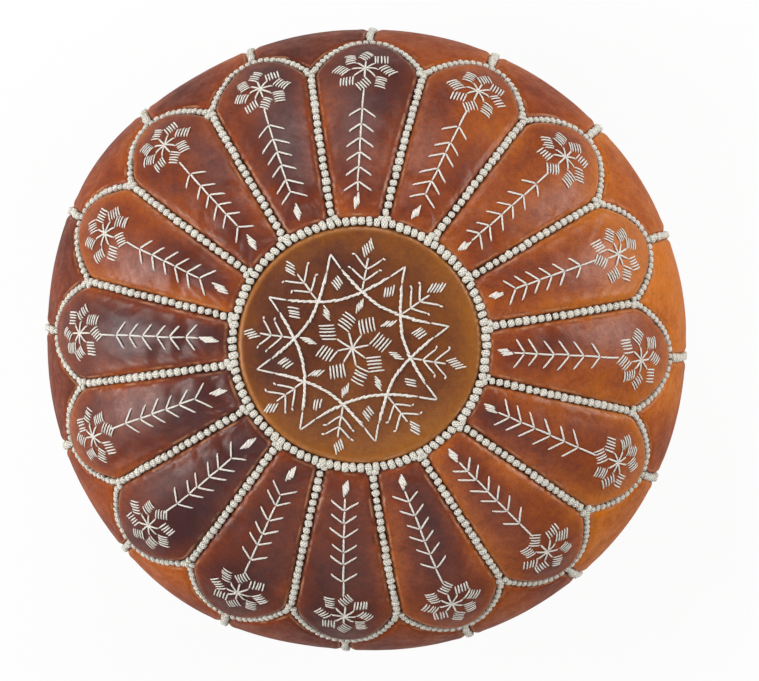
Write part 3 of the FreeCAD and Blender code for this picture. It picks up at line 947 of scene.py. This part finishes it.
RING_KNOT = (0.0070, 0.0062)  # width, and length along the seam
PETAL_KNOT = (0.0059, 0.0063)
ARCH_KNOT = (0.0051, 0.0057)
SIDE_KNOT = (0.0060, 0.0074)
even = np.linspace(0, 1, 400)  # shares of a row, from its start to its end
ring = seam_row(2 * math.pi * even, 0 * even + MEDALLION_REACH, *RING_KNOT, closed=True)
petal_rows, arch_rows, side_rows = [], [], []
for n in range(PETALS):
    tip_angle, seam_angle = PITCH * n, PITCH * (n + 0.5)
    down = MEDALLION_REACH + 0.0062 + (JUNCTION - 0.0112 - MEDALLION_REACH) * even
    petal_rows += seam_row(seam_angle + 0 * even, down, *PETAL_KNOT)
    petal_rows += heap(seam_angle, MEDALLION_REACH + 0.0040, 0.0055, 2, 0.0022, n)
    way = tip_angle + HALF * (2 * (0.025 + 0.95 * even) - 1)
    arch_rows += seam_row(way, arch_reach(way), *ARCH_KNOT)
    arch_rows += heap(seam_angle, JUNCTION, 0.0056, 3, 0.0028, 50 + n)
    down = TIP + 0.0036 + (BASE_SEAM - TIP - 0.0086) * even
    side_rows += seam_row(tip_angle + 0 * even, down, *SIDE_KNOT, -0.0003)

knotted_seam("medallion_seam_knots", ring, "medallion_seam_braid", 41)
knotted_seam("petal_seam_knots", petal_rows, "petal_seam_braids", 42)
knotted_seam("arch_seam_knots", arch_rows, "arch_seam_braids", 43)
knotted_seam("side_seam_knots", side_rows, "side_seam_braids", 44, 0.12)

# %% [markdown]
# ## The base seam
# The last seam runs in the corner between the side panels and the base. Its knots hang half under the
# edge, and clear of the floor, so the row's middle is worked out from that corner.

# %% The row round the base
def base_row():
    low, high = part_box("base_seam_braid")
    cord = (high.z - low.z) / 2
    reach, height = high.x - cord, (high.z + low.z) / 2
    count = round(math.pi * reach * (1 + NARROWING) / KNOT_PITCH)
    a = 2 * math.pi * np.arange(count) / count
    place = stacked(reach * np.cos(a), reach * NARROWING * np.sin(a), height)
    out = stacked(0.9 * np.cos(a), 0.9 * np.sin(a), -0.45)
    ahead = stacked(-np.sin(a), NARROWING * np.cos(a), 0)
    return [(*ways, 2 * cord, KNOT_PITCH, 0.0) for ways in zip(place, out, ahead)]


knotted_seam("base_seam_knots", base_row(), "base_seam_braid", 45)

# %% [markdown]
# ## Embroidery thread
# A stitch is a length of thread that comes up through the leather, lies on it and goes down again. Its
# mesh is a six-sided rod in six lengths. We drop its path onto the swollen leather by casting rays at
# it, then thicken the middle and sink both ends, so that every stitch seems to pull on the hide.

# %% One stitch, and many of them
STATIONS = 6


def stitch_shape():
    """A rod from 0 to 1 along Z, with a map that runs round it and along it."""
    bm = bmesh.new()
    bmesh.ops.create_cone(bm, cap_ends=True, segments=6, radius1=1, radius2=1, depth=1)
    long_edges = [e for e in bm.edges if abs(e.verts[0].co.z - e.verts[1].co.z) > 0.5]
    bmesh.ops.subdivide_edges(bm, edges=long_edges, cuts=STATIONS - 1, use_grid_fill=True)
    bmesh.ops.translate(bm, verts=bm.verts, vec=(0, 0, 0.5))
    weave = bm.loops.layers.uv.new("weave")
    for face in bm.faces:
        turns = [math.atan2(loop.vert.co.y, loop.vert.co.x) / (2 * math.pi) % 1 for loop in face.loops]
        wraps = max(turns) - min(turns) > 0.5
        for loop, turn in zip(face.loops, turns):
            loop[weave].uv = (turn + (1 if wraps and turn < 0.5 else 0), loop.vert.co.z)
    return as_mesh(bm, "stitch")


STITCH = stitch_shape()
STATION = np.rint(corners(STITCH)[:, 2] * STATIONS).astype(int)  # of each of its corners
RISE = np.array([-0.50, 0.66, 0.90, 0.95, 0.90, 0.66, -0.50])  # of the thread's middle, in half widths
BELLY = np.array([0.50, 0.92, 1.0, 1.0, 1.0, 0.92, 0.50])
STEPS = (1 + crowd(np.linspace(0, 1, STATIONS + 1), 0.45)) / 2
TWIST_LENGTH = 0.0034  # of the fine thread, for one turn of its strands
RAY_START = 0.02  # above the leather


def hide_tree(panel):
    """A panel's leather, ready for rays to find."""
    mesh = hides[panel].data
    return BVHTree.FromPolygons([v.co for v in mesh.vertices], [face.vertices[:] for face in mesh.polygons])


def dropped(tree, angle, s):
    """Places and directions out on the swollen leather, under smooth places on the pouf."""
    above = leather_place(angle, s, RAY_START)
    out = leather_normal(angle, s)
    places, normals = above - RAY_START * out, out.copy()
    for spot in np.ndindex(angle.shape):
        hit, normal = tree.ray_cast(Vector(above[spot]), -Vector(out[spot]), 2 * RAY_START)[:2]
        if hit:
            places[spot], normals[spot] = hit, normal
    return places, unit(normals + out)


def embroidered(name, stitches, to_pouf, tree, seed):
    """One mesh of stitches, each drawn flat as three places and a width."""
    dice = np.random.default_rng(seed)
    start, middle, end = (np.array([stitch[k] for stitch in stitches])[:, None] for k in range(3))
    width = np.array([stitch[3] for stitch in stitches])
    t = STEPS[None, :, None]
    path = (1 - t) ** 2 * start + 2 * t * (1 - t) * middle + t**2 * end
    places, out = dropped(tree, *to_pouf(path[..., 0], path[..., 1]))
    ahead = unit(np.gradient(places, axis=1))
    aside = unit(np.cross(out, ahead))
    half = width[:, None, None] / 2 * dice.normal(1, 0.05, (len(stitches), 1, 1))
    shape, station = corners(STITCH), STATION
    sideways = shape[:, 0, None] * (BELLY[station, None] * half)
    upwards = (shape[:, 1, None] * 0.8 * BELLY[station, None] + RISE[station, None]) * half
    moved = places[:, station] + aside[:, station] * sideways + out[:, station] * upwards
    turns = np.linalg.norm(places[:, -1] - places[:, 0], axis=1)[:, None] / TWIST_LENGTH
    shift = dice.uniform(0, 1, (len(stitches), 1))
    mesh = copies(name, STITCH, moved, lambda u, v: (u, v * turns + shift))
    add_piece(mesh, fine_thread)


print("one stitch has", len(STITCH.polygons), "faces")

# %% [markdown]
# ## Drawing with stitches
# The maker chalks the ornament on flat leather, so we draw it flat too, in metres from a middle. A small
# drawing class keeps the stitches, shakes each a little, and turns the flat drawing into angles and
# lengths on the pouf. A block is a few parallel stitches set side by side, and most of it is blocks.

# %% A flat drawing
THREAD = 0.0017
BLOCK_THREAD = 0.00145  # drawn tighter in the solid blocks
STEM_THREAD = THREAD * 0.95
HAND_SHAKE = 0.0002


def gone(start, out, way, aside=0.0):
    """The flat place so far out from a start on this way, and so far aside to its left."""
    x = start[0] + (out * math.cos(way) - aside * math.sin(way))
    return x, start[1] + (out * math.sin(way) + aside * math.cos(way))


class Drawing:
    """Stitches drawn flat: x runs outwards or to the right, y to its left."""

    def __init__(self, seed):
        self.dice = random.Random(seed)
        self.stitches = []

    def stitch(self, start, end, bow=0.0, width=THREAD):
        """A stitch from start to end, its middle pushed aside by a share of its length."""
        x0, y0, x1, y1 = (x + self.dice.gauss(0, HAND_SHAKE) for x in (*start, *end))
        bow += self.dice.gauss(0, 0.02)
        middle = ((x0 + x1) / 2 - bow * (y1 - y0), (y0 + y1) / 2 + bow * (x1 - x0))
        self.stitches.append(((x0, y0), middle, (x1, y1), width))

    def line(self, places, width=THREAD):
        """Stitches end to end through these places."""
        for start, end in zip(places, places[1:]):
            self.stitch(start, end, width=width)

    def block(self, start, way, length, side_way, step, count, width=BLOCK_THREAD):
        """Parallel stitches that leave start on one way and are set side by side on another."""
        bow = self.dice.gauss(0, 0.03)
        for k in range(count):
            root = gone(start, k * step, side_way)
            size = length * self.dice.uniform(0.92, 1.06)
            self.stitch(root, gone(root, size, way), bow, width)

    def flower(self, middle, first, spoke, length, step, count=5):
        """Eight spokes, each with a block set cornerwise on its end."""
        for k in range(8):
            way = first + k * math.pi / 4 + self.dice.gauss(0, 0.045)
            tip = gone(middle, spoke * self.dice.uniform(0.9, 1.1), way)
            self.stitch(middle, tip, self.dice.gauss(0, 0.03))
            lean = self.dice.gauss(0, 0.07)
            size = length * self.dice.uniform(0.92, 1.08)
            self.block(tip, way + 0.75 + lean, size, way - 0.70 + lean, step, count)


# %% [markdown]
# ## The ornament on a petal
# From the arch inwards: an eight-spoked flower, then a stem with six pairs of twigs that lean towards the
# medallion, then a narrow bud. All sixteen petals carry it, and no two came out the same.

# %% Sixteen flowers
FLOWER = 0.2398  # the flower's middle, the twigs' roots and the bud's end, along the leather
TWIGS = (0.1990, 0.1850, 0.1724, 0.1600, 0.1478, 0.1358)
BUD = 0.1265
PETAL_FLOWER = (0.0108, 0.0098, 0.0025)  # length of a spoke and of a block, and a block's step
MEDALLION_FLOWER = (0.0138, 0.0122, 0.0028)


def petal_drawing(number):
    drawing = Drawing(700 + number)
    dice = drawing.dice
    flower = (FLOWER + dice.gauss(0, 0.0012), dice.gauss(0, 0.0012))
    drawing.flower(flower, dice.gauss(0, 0.06), *PETAL_FLOWER)
    lean = dice.gauss(0, 0.0012)
    roots = [(s + dice.gauss(0, 0.0007), lean * (FLOWER - s) / 0.1) for s in TWIGS]
    stem = [(FLOWER - 0.0225, 0.0), *roots]
    if dice.random() < 0.5:
        stem.append((BUD - 0.0010, lean))
    drawing.line(stem, STEM_THREAD)
    forward = dice.uniform(0.0068, 0.0092)
    spread = dice.uniform(0.0098, 0.0116)
    for s, y in roots:
        for side in (-1, 1):
            size = dice.uniform(0.88, 1.10)
            tip = (s - forward * size, y + side * spread * size)
            drawing.stitch((s, y), tip, side * 0.05, STEM_THREAD)
    for k in range(4):
        start = (BUD - 0.0158 + 0.0015 * k, lean + 0.0013 - 0.00105 * k)
        size = dice.uniform(0.0090, 0.0110)
        drawing.stitch(start, (start[0] + size, start[1] + 0.0012), 0.03)
    return drawing


def on_petal(number):
    """Turns (length along the leather, metres to its left) into an angle and a length."""
    return lambda s, y: (PITCH * (number - 1) + y / on_meridian(s)[0], s)


for number in range(1, PETALS + 1):
    stitches = petal_drawing(number).stitches
    tree = hide_tree(("petal", number))
    embroidered("petal_%02d_embroidery" % number, stitches, on_petal(number), tree, number)
print("a petal has", len(stitches), "stitches")

# %% [markdown]
# ## The star on the medallion
# Eight bowed lines cross to make an eight-pointed star round a large flower. The lines are stem stitch,
# short strokes laid like the strands of a rope, and run out to a single thread at the points. A fern
# grows outwards from every crossing, and small blocks fill the points and the bays.

# %% The star, its ferns and its flower
STAR_POINT = 0.0785
STAR_WAIST = 0.0404  # from the middle to the nearest place on a star line
STAR_TURN = math.radians(105.9)  # of one point from +X
STRAND_LEAN = 0.00055  # how far a strand of the stem stitch lies across its line
FERN_STEM = (0.0475, 0.0560, 0.0650, 0.0745)  # from the middle to the ends of its stitches
DRAWING_SHIFT = (-0.0048, -0.0030)  # the star was chalked a little off the middle
CENTRE = (0, 0)


def star_line(drawing, way):
    """One bowed line from point to point, its middle in this direction."""
    half = STAR_POINT * math.sin(math.pi / 4)

    def on_line(share):
        x = half * share
        y = STAR_WAIST + (half - STAR_WAIST) * abs(share) ** 1.65
        return gone(CENTRE, y, way, -x)

    drawing.line([on_line(share) for share in np.linspace(-1, 1, 9)])
    for start in np.arange(-0.70, 0.62, 0.085):
        a, b = on_line(start), on_line(start + 0.125)
        turn = math.atan2(b[1] - a[1], b[0] - a[0])
        drawing.stitch(gone(a, 0, turn, -STRAND_LEAN), gone(b, 0, turn, STRAND_LEAN), width=THREAD * 1.3)


def fern(drawing, way):
    """A stem with two pairs of hooked twigs and a bud, growing outwards from a crossing."""
    dice = drawing.dice

    def at(out, aside):
        return gone(CENTRE, out, way, aside)

    drawing.line([at(out, 0) for out in FERN_STEM], STEM_THREAD)
    for root in FERN_STEM[1:3]:
        for side in (-1, 1):
            out, aside = 0.0095 * dice.uniform(0.85, 1.2), 0.0110 * dice.uniform(0.9, 1.1)
            tip = (root + out, side * aside)
            drawing.stitch(at(root, 0), at(*tip), side * 0.04, STEM_THREAD)
            hook = (tip[0] + dice.uniform(-0.0010, 0.0012), tip[1] + side * 0.0026)
            drawing.stitch(at(*tip), at(*hook), width=STEM_THREAD)
    drawing.block(at(0.0742, 0.0022), way + 0.42, 0.0094, way - 0.60, 0.0024, dice.choice((4, 5)))


def medallion_drawing():
    drawing = Drawing(77)
    drawing.flower(CENTRE, STAR_TURN - math.radians(2.5), *MEDALLION_FLOWER)
    for k in range(8):
        point = STAR_TURN + k * math.pi / 4
        crossing = point + math.pi / 8
        star_line(drawing, point)
        fern(drawing, crossing)
        start = gone(CENTRE, 0.0478, point + 0.02)
        drawing.block(start, point + 0.38, 0.0092, point - 0.87, 0.0023, drawing.dice.choice((3, 4, 4)))
        start = gone(CENTRE, 0.0282, crossing + 0.05)
        drawing.block(start, crossing + 0.09, 0.0080, crossing - 0.60, 0.0022, 4)
    return drawing


def on_medallion(x, y):
    x, y = x + DRAWING_SHIFT[0], y + DRAWING_SHIFT[1]
    return np.arctan2(y, x), np.hypot(x, y)


stitches = medallion_drawing().stitches
embroidered("medallion_embroidery", stitches, on_medallion, hide_tree("medallion"), 17)
print("the medallion has", len(stitches), "stitches")

# %% [markdown]
# ## The base
# The pouf stands on two plain panels of leather, sewn together at both ends of a zip. Each half is a grid
# bent like a sheet: out over the slot's edge, down its side, across the floor and up round the rim. Its
# rows run from slot to rim, so that one row of faces always follows each fold.

# %% Half a base
ZIP_SLOT = (0.176, 0.008)  # half the slot's length and width
ZIP_PLANE = 0.007  # the turned-in leather that carries the tapes
FOLD = 0.0018  # radius of the fold at the slot's edge
BASE_CELLS = (160, 64)  # from one end of the slot to the other, and from the tapes to the rim
BASE_FOLDS = (0, 5, 8, 12, 15, 54, 64)  # the rows where the sheet bends
RIM_FOLD = BASE_FOLDS[-2]


def slot_edge(turn, grow):
    """Places on the slot's edge, grown outwards, for turns from 0 at +X to 1 at -X."""
    marks = [0, 0.04, 0.96, 1]
    x = np.interp(turn, marks, [1, 1, -1, -1]) * (ZIP_SLOT[0] + grow)
    return x, np.interp(turn, marks, [0, 1, 1, 0]) * (ZIP_SLOT[1] + grow)


def base_piece(side, name):
    """One half, on +Y or -Y."""
    mesh, column, row = flat_grid(name + "_hide", BASE_CELLS)
    turn = (1 + crowd(np.linspace(0, 1, BASE_CELLS[0] + 1), 0.3))[:, None] / 2
    way = math.pi * turn
    k = np.arange(BASE_CELLS[1] + 1)
    grow_in = np.interp(k, BASE_FOLDS, [0.011, FOLD, 0, 0, FOLD, FOLD, FOLD])
    height_in = np.interp(k, BASE_FOLDS, [ZIP_PLANE, ZIP_PLANE, ZIP_PLANE - FOLD, FOLD, 0, 0, 0])
    spread = np.interp(k, BASE_FOLDS, [0, 0, 0, 0, 0, 1, 1])
    bend = held((k - RIM_FOLD) / (BASE_CELLS[1] - RIM_FOLD)) * math.pi / 2
    round_off = BASE_RISE - 0.001
    out = BASE_RADIUS - round_off + round_off * np.sin(bend)
    height = np.where(k <= RIM_FOLD, height_in, (1 - np.cos(bend)) * BASE_RISE)
    in_x, in_y = slot_edge(turn, grow_in)
    edge_x = out * np.cos(way)
    edge_y = out * NARROWING * np.maximum(np.sin(way), SEAM_GAP / 2 / BASE_RADIUS)
    x = in_x + (edge_x - in_x) * spread
    y = np.maximum(in_y + (edge_y - in_y) * spread, SEAM_GAP / 2)
    reach = np.hypot(x, y / NARROWING)
    flat = held(spread * 6) * held((1 - spread) * 8)
    ripple = 0.5 + 0.5 * waves(51 + side, np.arctan2(y, x), reach, 3, 17) / 2
    z = height + 0.0007 * flat * held(ripple)
    set_corners(mesh, stacked(x, y * side, z)[column, row])
    seam = np.minimum(BASE_RADIUS - reach + 0.004, np.where(spread > 0, y + 0.002, 0.01))
    dye = 0.42 + 0.12 * waves(61, np.arctan2(y, x), reach, 2, 11)
    write_numbers(mesh, seam=np.maximum(seam, 0.0)[column, row] + 0.001, dye=dye[column, row])
    if side < 0:
        mesh.flip_normals()
    return add_piece(mesh, base_leather, name, LEATHER)


hides["base", 1] = base_piece(1, "base_panel_left")
hides["base", -1] = base_piece(-1, "base_panel_right")
print("base halves:", [len(hides["base", side].data.polygons) for side in (1, -1)], "faces")

# %% [markdown]
# ## Stitching on the base
# Two rows of small stitches on each side of the slot hold the zip's tapes to the leather, and a short
# row closes each end. They are straight machine stitches, even and a little sunk.

# %% Rows of stitches beside the zip
BASE_THREAD = 0.0008
BASE_STITCH = 0.0042
ROW_END = 0.181
ROWS_AWAY = (0.0125, 0.0190)  # from the zip's middle


def base_row_stitches(start, end):
    """Stitches end to end along a straight line on the underside."""
    start, end = np.array(start), np.array(end)
    count = round(float(np.linalg.norm(end - start)) / BASE_STITCH)
    marks = np.linspace(0, 1, count + 1)[:, None]
    places = start + (end - start) * marks
    return [(a, b) for a, b in zip(places + (end - start) * 0.10 / count, places[1:])]


def base_stitching(side, name):
    rows = []
    for away in ROWS_AWAY:
        rows += base_row_stitches((-ROW_END, away * side), (ROW_END, away * side))
    for x in (-ROW_END, ROW_END):
        rows += base_row_stitches((x, ROWS_AWAY[0] * side), (x, 0.0030 * side))
    tree = hide_tree(("base", side))
    ends = np.array(rows)
    path = ends[:, None, 0] + (ends[:, None, 1] - ends[:, None, 0]) * STEPS[None, :, None]
    places = np.concatenate([path, np.zeros_like(path[..., :1])], -1)
    for spot in np.ndindex(places.shape[:2]):
        hit = tree.ray_cast(Vector((*places[spot][:2], -0.01)), Vector((0, 0, 1)), 0.02)[0]
        places[spot][2] = hit.z if hit else 0.0
    half = BASE_THREAD / 2
    shape, station = corners(STITCH), STATION
    aside = np.cross(unit(places[:, -1:] - places[:, :1]), (0, 0, 1))
    moved = places[:, station] + aside * shape[None, :, 0, None] * half * BELLY[station, None]
    moved[..., 2] += half * (0.35 * shape[:, 1] * BELLY[station] - 0.30 * RISE[station])
    moved[..., 2] = np.maximum(moved[..., 2], 0.0)
    add_piece(copies(name, STITCH, moved), fine_thread)


base_stitching(1, "base_stitching_left")
base_stitching(-1, "base_stitching_right")
print("the base is stitched")

# %% [markdown]
# ## The zip
# The zip's tapes are woven in a fine herringbone and its metal is aged brass. The measured teeth, stops,
# slider and pull already have their real shapes, so those stay and only get their finish. The tapes are
# soft, so they are made again, a little wavy where the teeth pull on them.

# %% Tape and brass
def tape_cloth():
    finish = Finish("zip_tape_cloth")
    x = finish.node("SeparateXYZ", {0: finish.here})
    zigzag = (x.beside(1) * 420).maths("PINGPONG", 1.0)
    rib = ((x * 1100 + zigzag * 1.4) * math.pi).maths("SINE") * 0.5 + 0.5
    height = rib + 0.3 * finish.noise(2200, 3, 0.6)
    tint = finish.mixed(height.between(0.1, 1.1), "3b2416", "6a452b")
    bump = finish.bump(height, 0.8, 0.0003)
    return finish.surface(Base_Color=tint, Roughness=0.85, Normal=bump, Sheen_Weight=0.2)


def aged_brass():
    finish = Finish("zip_metal")
    tarnish = finish.noise(260, 4, 0.6)
    scratches = finish.bump(finish.noise(1800, 2, 0.5, 1.5), 0.25, 0.0001)
    tint = finish.mixed(tarnish.between(0.35, 0.75), "c9a35a", "7d5e2e")
    rough = 0.26 + 0.25 * tarnish
    return finish.surface(Base_Color=tint, Roughness=rough, Normal=scratches, Metallic=1.0)


def tape_piece(name):
    low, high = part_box(name)
    cells = (180, 8)
    mesh, column, row = flat_grid(name + "_weave", cells)
    x = np.linspace(low.x, high.x, cells[0] + 1)[:, None]
    y = np.linspace(low.y, high.y, cells[1] + 1)[None, :]
    z = low.z + 0.00006 * (1 + np.sin(x * 900 + y * 300))
    set_corners(mesh, stacked(x, y, z)[column, row])
    mesh.flip_normals()
    add_piece(mesh, woven_tape, name, high.z - low.z - 0.0001)


woven_tape = tape_cloth()
brass = aged_brass()
tape_piece("zip_tape_left")
tape_piece("zip_tape_right")
METAL = ("zip_teeth_left", "zip_teeth_right", "zip_top_stops", "zip_bottom_stop", "zip_slider", "zip_pull")
for name in METAL:
    nodes[name].data.materials.clear()
    nodes[name].data.materials.append(brass)
print("the zip has", len(METAL), "metal parts")

# %% [markdown]
# ## The stuffing
# Inside is cotton wadding. It can't be seen until the zip is opened, but it is what holds the shape, so it
# is made like the rest: a profile spun round the axis and pushed in and out by noise, as packed lumps are.

# %% Cotton wadding
def cotton():
    finish = Finish("cotton_filling")
    tuft = finish.noise(90, 6, 0.65, 0.6)
    tint = finish.mixed(tuft.between(0.25, 0.7), "c9c1b2", "f0ebe0")
    bump = finish.bump(tuft + 0.3 * finish.noise(900, 4, 0.7), 0.8, 0.002)
    return finish.surface(Base_Color=tint, Roughness=0.95, Normal=bump, Sheen_Weight=0.3)


def stuffing_piece():
    depth = LEATHER + 0.0040
    rings = 70
    s = np.linspace(0, BASE_SEAM, rings + 1)
    r, z, nr, nz = on_meridian(s)
    profile = [(max(a - n * depth, 0.0), b - m * depth) for a, b, n, m in zip(r, z, nr, nz)]
    floor = 0.0125
    inside = [(BASE_RADIUS * (1 - k / 16), floor) for k in range(1, 17)]
    mesh = spun("cotton_stuffing", [(x, max(z, floor)) for x, z in profile + inside], 128, NARROWING)
    co = corners(mesh)
    normals = np.array([v.normal for v in mesh.vertices])
    angle, reach = np.arctan2(co[:, 1] / NARROWING, co[:, 0]), np.hypot(co[:, 0], co[:, 1])
    length = np.interp(np.arctan2(reach, co[:, 2] - GIRTH), np.arctan2(r, z - GIRTH), s)
    lumps = np.clip(waves(71, angle, reach + co[:, 2], 5, 23), -1, 2) + 1
    inwards = np.where(co[:, 2] > floor + 0.0005, 0.0011, 0.0)
    set_corners(mesh, co + normals * (uneven(angle, length) - inwards * lumps)[:, None])
    add_piece(mesh, cotton(), "filling")


stuffing_piece()
print("the wadding is in")

# %% [markdown]
# ## Studio
# The pouf is shown from almost straight above on a plain pale floor. Broad soft lamps stand round it at a
# middling height: leather has no shine under an even sky, and one lamp overhead would only bleach the
# medallion. The white background is the floor's own colour as the camera sees it, so no extra light
# falls on the leather, and the floor still keeps a faint shadow.

# %% Floor, world and lamps
LAMPS = {  # bearing and elevation in degrees, distance and size in metres, watts
    "softbox_right": (20, 25, 1.9, 1.0, 16),
    "softbox_left": (184, 34, 1.9, 0.9, 16),
    "softbox_back": (97, 44, 1.9, 1.0, 8),
    "softbox_front": (-80, 46, 2.2, 2.4, 14),
    "low_left": (196, 24, 2.0, 1.2, 6),
    "low_back": (110, 24, 2.0, 1.2, 6),
}
SKY_LEVEL = 0.16
MIRRORED = 0.08  # how much of the white surroundings shows in metal and polished leather
FLOOR_WHITE = 0.86  # the rest of the floor is paint that keeps the shadow
FLOOR_REACH = 6
FLOOR_DROP = 0.0005  # so that the base and the floor never share a face
MIDDLE = Vector((0, 0, GIRTH))


def seen_white(finish):
    """1 for what the camera sees itself, and a little for what it sees mirrored."""
    seen = finish.node("LightPath", output="Is Camera Ray")
    mirrored = seen.beside("Is Glossy Ray").maths("MAXIMUM", seen.beside("Is Transmission Ray"))
    return mirrored.maths("MULTIPLY_ADD", MIRRORED, seen, use_clamp=True)


def floor_piece():
    mesh = flat_grid("studio_floor", (1, 1))[0]
    set_corners(mesh, corners(mesh) * FLOOR_REACH - (0, 0, FLOOR_DROP))
    finish = Finish("studio_floor")
    share = seen_white(finish) * FLOOR_WHITE
    paint = finish.node("BsdfDiffuse", {"Color": "c4c4c4"})
    glow = finish.node("Emission", {"Color": "ffffff", "Strength": 1.07})
    finish.node("OutputMaterial", {"Surface": finish.node("MixShader", {0: share, 1: paint, 2: glow})})
    mesh.materials.append(finish.made)
    obj = bpy.data.objects.new("studio_floor", mesh)
    scene.collection.objects.link(obj)


def studio_world(level):
    """A soft even sky that the camera sees as plain white."""
    sky = Finish("studio", bpy.data.worlds)
    soft = sky.node("Background", {"Color": (1.0, 0.99, 0.97, 1), "Strength": level})
    white = sky.node("Background", {"Color": "ffffff", "Strength": 1.0})
    sky.node("OutputWorld", {"Surface": sky.node("MixShader", {0: seen_white(sky), 1: soft, 2: white})})
    scene.world = sky.made


def towards(bearing, elevation):
    """A direction from its bearing from +X and its elevation, in degrees."""
    a, e = math.radians(bearing), math.radians(elevation)
    return Vector((math.cos(a) * math.cos(e), math.sin(a) * math.cos(e), math.sin(e)))


def softbox(name, bearing, elevation, distance, size, watts):
    """A square lamp that looks at the middle of the pouf."""
    way = towards(bearing, elevation)
    lamp = bpy.data.lights.new(name, "AREA")
    lamp.shape = "SQUARE"
    lamp.size = size
    lamp.energy = watts
    obj = bpy.data.objects.new(name, lamp)
    obj.location = MIDDLE + way * distance
    obj.rotation_mode = "QUATERNION"
    obj.rotation_quaternion = way.to_track_quat("Z", "Y")
    scene.collection.objects.link(obj)


floor_piece()
studio_world(SKY_LEVEL)
for name, numbers in LAMPS.items():
    softbox(name, *numbers)
print(len(LAMPS), "lamps and a pale floor")

# %% [markdown]
# ## Camera
# The camera hangs about a metre and a half above the pouf and leans a few degrees, as it does in a
# shop's catalogue. Its long lens keeps the side panels to a narrow rim round the petals.

# %% Camera
CAMERA_REACH = 1.60  # above the girth
CAMERA_LEAN = 2.65  # from the upright, in degrees
CAMERA_BEARING = 41
CAMERA_TURN = math.radians(2.85)  # against the ornament
AIM = (0.0111, -0.0018, 0)  # to the right of and above the pouf's middle


def facing(back, up):
    """The axes of a camera with this direction behind it, the right way up."""
    right = up.cross(back).normalized()
    return Matrix((right, back.cross(right).normalized(), back)).transposed()


camera = bpy.data.objects.new("camera", bpy.data.cameras.new("camera"))
scene.collection.objects.link(camera)
scene.camera = camera
camera.data.lens = 85.6
camera.data.sensor_width = 36.0
back = towards(CAMERA_BEARING, 90 - CAMERA_LEAN)
camera.location = MIDDLE + back * CAMERA_REACH
axes = facing(back, Vector((-math.sin(CAMERA_TURN), math.cos(CAMERA_TURN), 0)))
aim = MIDDLE + axes @ Vector(AIM)
camera.rotation_mode = "QUATERNION"
camera.rotation_quaternion = facing((camera.location - aim).normalized(), axes.col[1]).to_quaternion()
scene.view_settings.view_transform = "Standard"
print("the camera is", round(camera.location.z, 2), "m above the floor")
